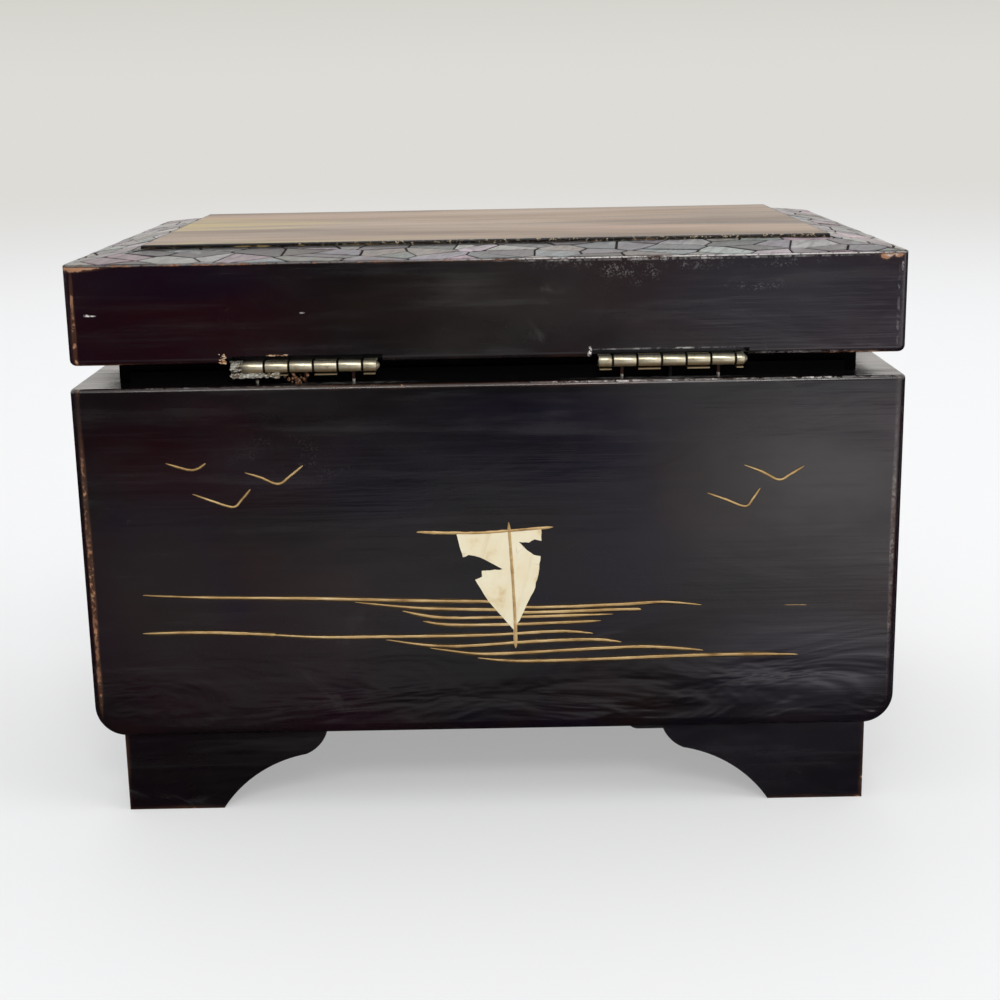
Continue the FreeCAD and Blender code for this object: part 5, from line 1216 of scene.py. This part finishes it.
def make_floor():
    """Pale floor that keeps the shadow and fades into the backdrop; mirrored surfaces see it darker."""
    built = bmesh.new()
    bmesh.ops.create_circle(built, cap_ends=True, segments=96, radius=FLOOR_RADIUS)
    mesh = from_bmesh("floor", built)
    floor = bpy.data.objects.new("floor", mesh)
    floor.location.z = -FLOOR_DROP
    bpy.context.scene.collection.objects.link(floor)
    made = Surface("floor_paper", base_color=(0.86, 0.86, 0.855), roughness=0.9, specular_ior_level=0.0)
    rays = made.source("LightPath").outputs
    pale = made.source("Emission", {"Color": (0.94, 0.94, 0.935)}).outputs[0]
    far = made.source("Emission", {"Color": HORIZON}).outputs[0]
    lifted = product(rays["Is Camera Ray"], 0.38)
    near = made.source("MixShader", {0: lifted, 1: made.shader.outputs[0], 2: pale}).outputs[0]
    distance = step(vector("LENGTH", made.place, output="Value"), 0.9, 3.5)
    shown = made.source("MixShader", {0: distance, 1: near, 2: far}).outputs[0]
    mirror = maths("ADD", rays["Is Glossy Ray"], rays["Is Transmission Ray"], clamp=True)
    shown = made.source("MixShader", {0: mirror, 1: shown, 2: mirrored_floor(made)}).outputs[0]
    feed(made.tree.nodes["Material Output"].inputs["Surface"], shown)
    mesh.materials.append(made.material)


def mirrored_floor(made):
    """How bright the floor mirrors in lacquer and metal: dark near the box, a soft pale band further
    out and a bright window towards -x."""
    x, y, _ = parts(made.place)
    uneven = levels(made.noise(5, 2), -0.05, 0.05)
    away = total(y, uneven)
    band = product(step(away, 0.13, 0.32), step(away, 0.62, 0.42), levels(step(x, 0.15, 0.02), 0.13, 0.34))
    window = product(step(x, -0.05, -0.20), step(y, 0.12, 0.58), levels(step(y, 1.15, 0.75), 0.13, 1.0))
    far = product(step(y, 0.85, 1.1), step(x, 0.30, -0.10), 0.035)
    glow = total(0.010, band, window, far)
    cool = product(glow, levels(step(y, 0.75, 1.1), 1.0, 1.14))
    colour = result("CombineXYZ", {0: glow, 1: product(glow, 0.97), 2: cool})
    return made.source("Emission", {"Color": colour}).outputs[0]


def make_world():
    """Pale surroundings; towards the photographer's side they mirror darker near the horizon."""
    world = bpy.data.worlds.new("studio")
    bpy.context.scene.world = world
    world.use_nodes = True
    made = Shading(world.node_tree, "Generated")
    x, y, z = parts(made.place)
    shown = ramp(step(z, 0.0, 0.08), (0.0, HORIZON), (1.0, (0.64, 0.63, 0.58)))
    dim = product(step(y, -0.1, 0.35), step(z, 0.50, 0.2), step(x, -0.55, 0.0))
    mirrored = mix(dim, (0.84, 0.81, 0.77), (0.02, 0.02, 0.02))
    rays = made.source("LightPath").outputs
    mirror = maths("ADD", rays["Is Glossy Ray"], rays["Is Transmission Ray"], clamp=True)
    seen = mix(mirror, (0.76, 0.77, 0.80), mirrored)
    seen = over(seen, shown, rays["Is Camera Ray"])
    feed(made.tree.nodes["Background"].inputs["Color"], seen)


def make_lamps():
    """Large soft lamps that look at the middle of the box."""
    for name, place, size, power in LAMPS:
        data = bpy.data.lights.new(name, "AREA")
        data.size = size
        data.energy = power
        lamp = bpy.data.objects.new(name, data)
        lamp.location = place
        lamp.rotation_euler = (LAMP_TARGET - lamp.location).to_track_quat("-Z", "Y").to_euler()
        bpy.context.scene.collection.objects.link(lamp)


def make_camera():
    """Camera at the photograph's place, tilted down and rolled a little."""
    data = bpy.data.cameras.new("camera")
    data.sensor_width = SENSOR_WIDTH
    data.lens = CAMERA_LENS
    camera = bpy.data.objects.new("camera", data)
    ahead = Vector((0, -math.cos(CAMERA_PITCH), -math.sin(CAMERA_PITCH)))
    up = Vector((0, -math.sin(CAMERA_PITCH), math.cos(CAMERA_PITCH)))
    right = ahead.cross(up)
    up = up * math.cos(CAMERA_ROLL) + right * math.sin(CAMERA_ROLL)
    right = ahead.cross(up)
    turned = Matrix((right, up, -ahead)).transposed().to_4x4()
    camera.matrix_world = Matrix.Translation(CAMERA_PLACE) @ turned
    bpy.context.scene.collection.objects.link(camera)
    bpy.context.scene.camera = camera


burgundy = velvet("burgundy_velvet", (0.085, 0.006, 0.014), (0.25, 0.022, 0.042))
hinge_plating = hinge_metal()
make_camera()
make_floor()
make_world()
make_lamps()
paint_frame(burgundy, hinge_plating)
make_back_ornament(brushed_gold(), gold_ground(), sail_cream())
make_mosaic(shell_nacre(), mosaic_bed())
make_leaf_lips(hinge_plating)
make_hinge_dressing(corrosion(), splinters())
stuffed_rolls(burgundy)
bpy.context.scene.view_settings.view_transform = "Standard"
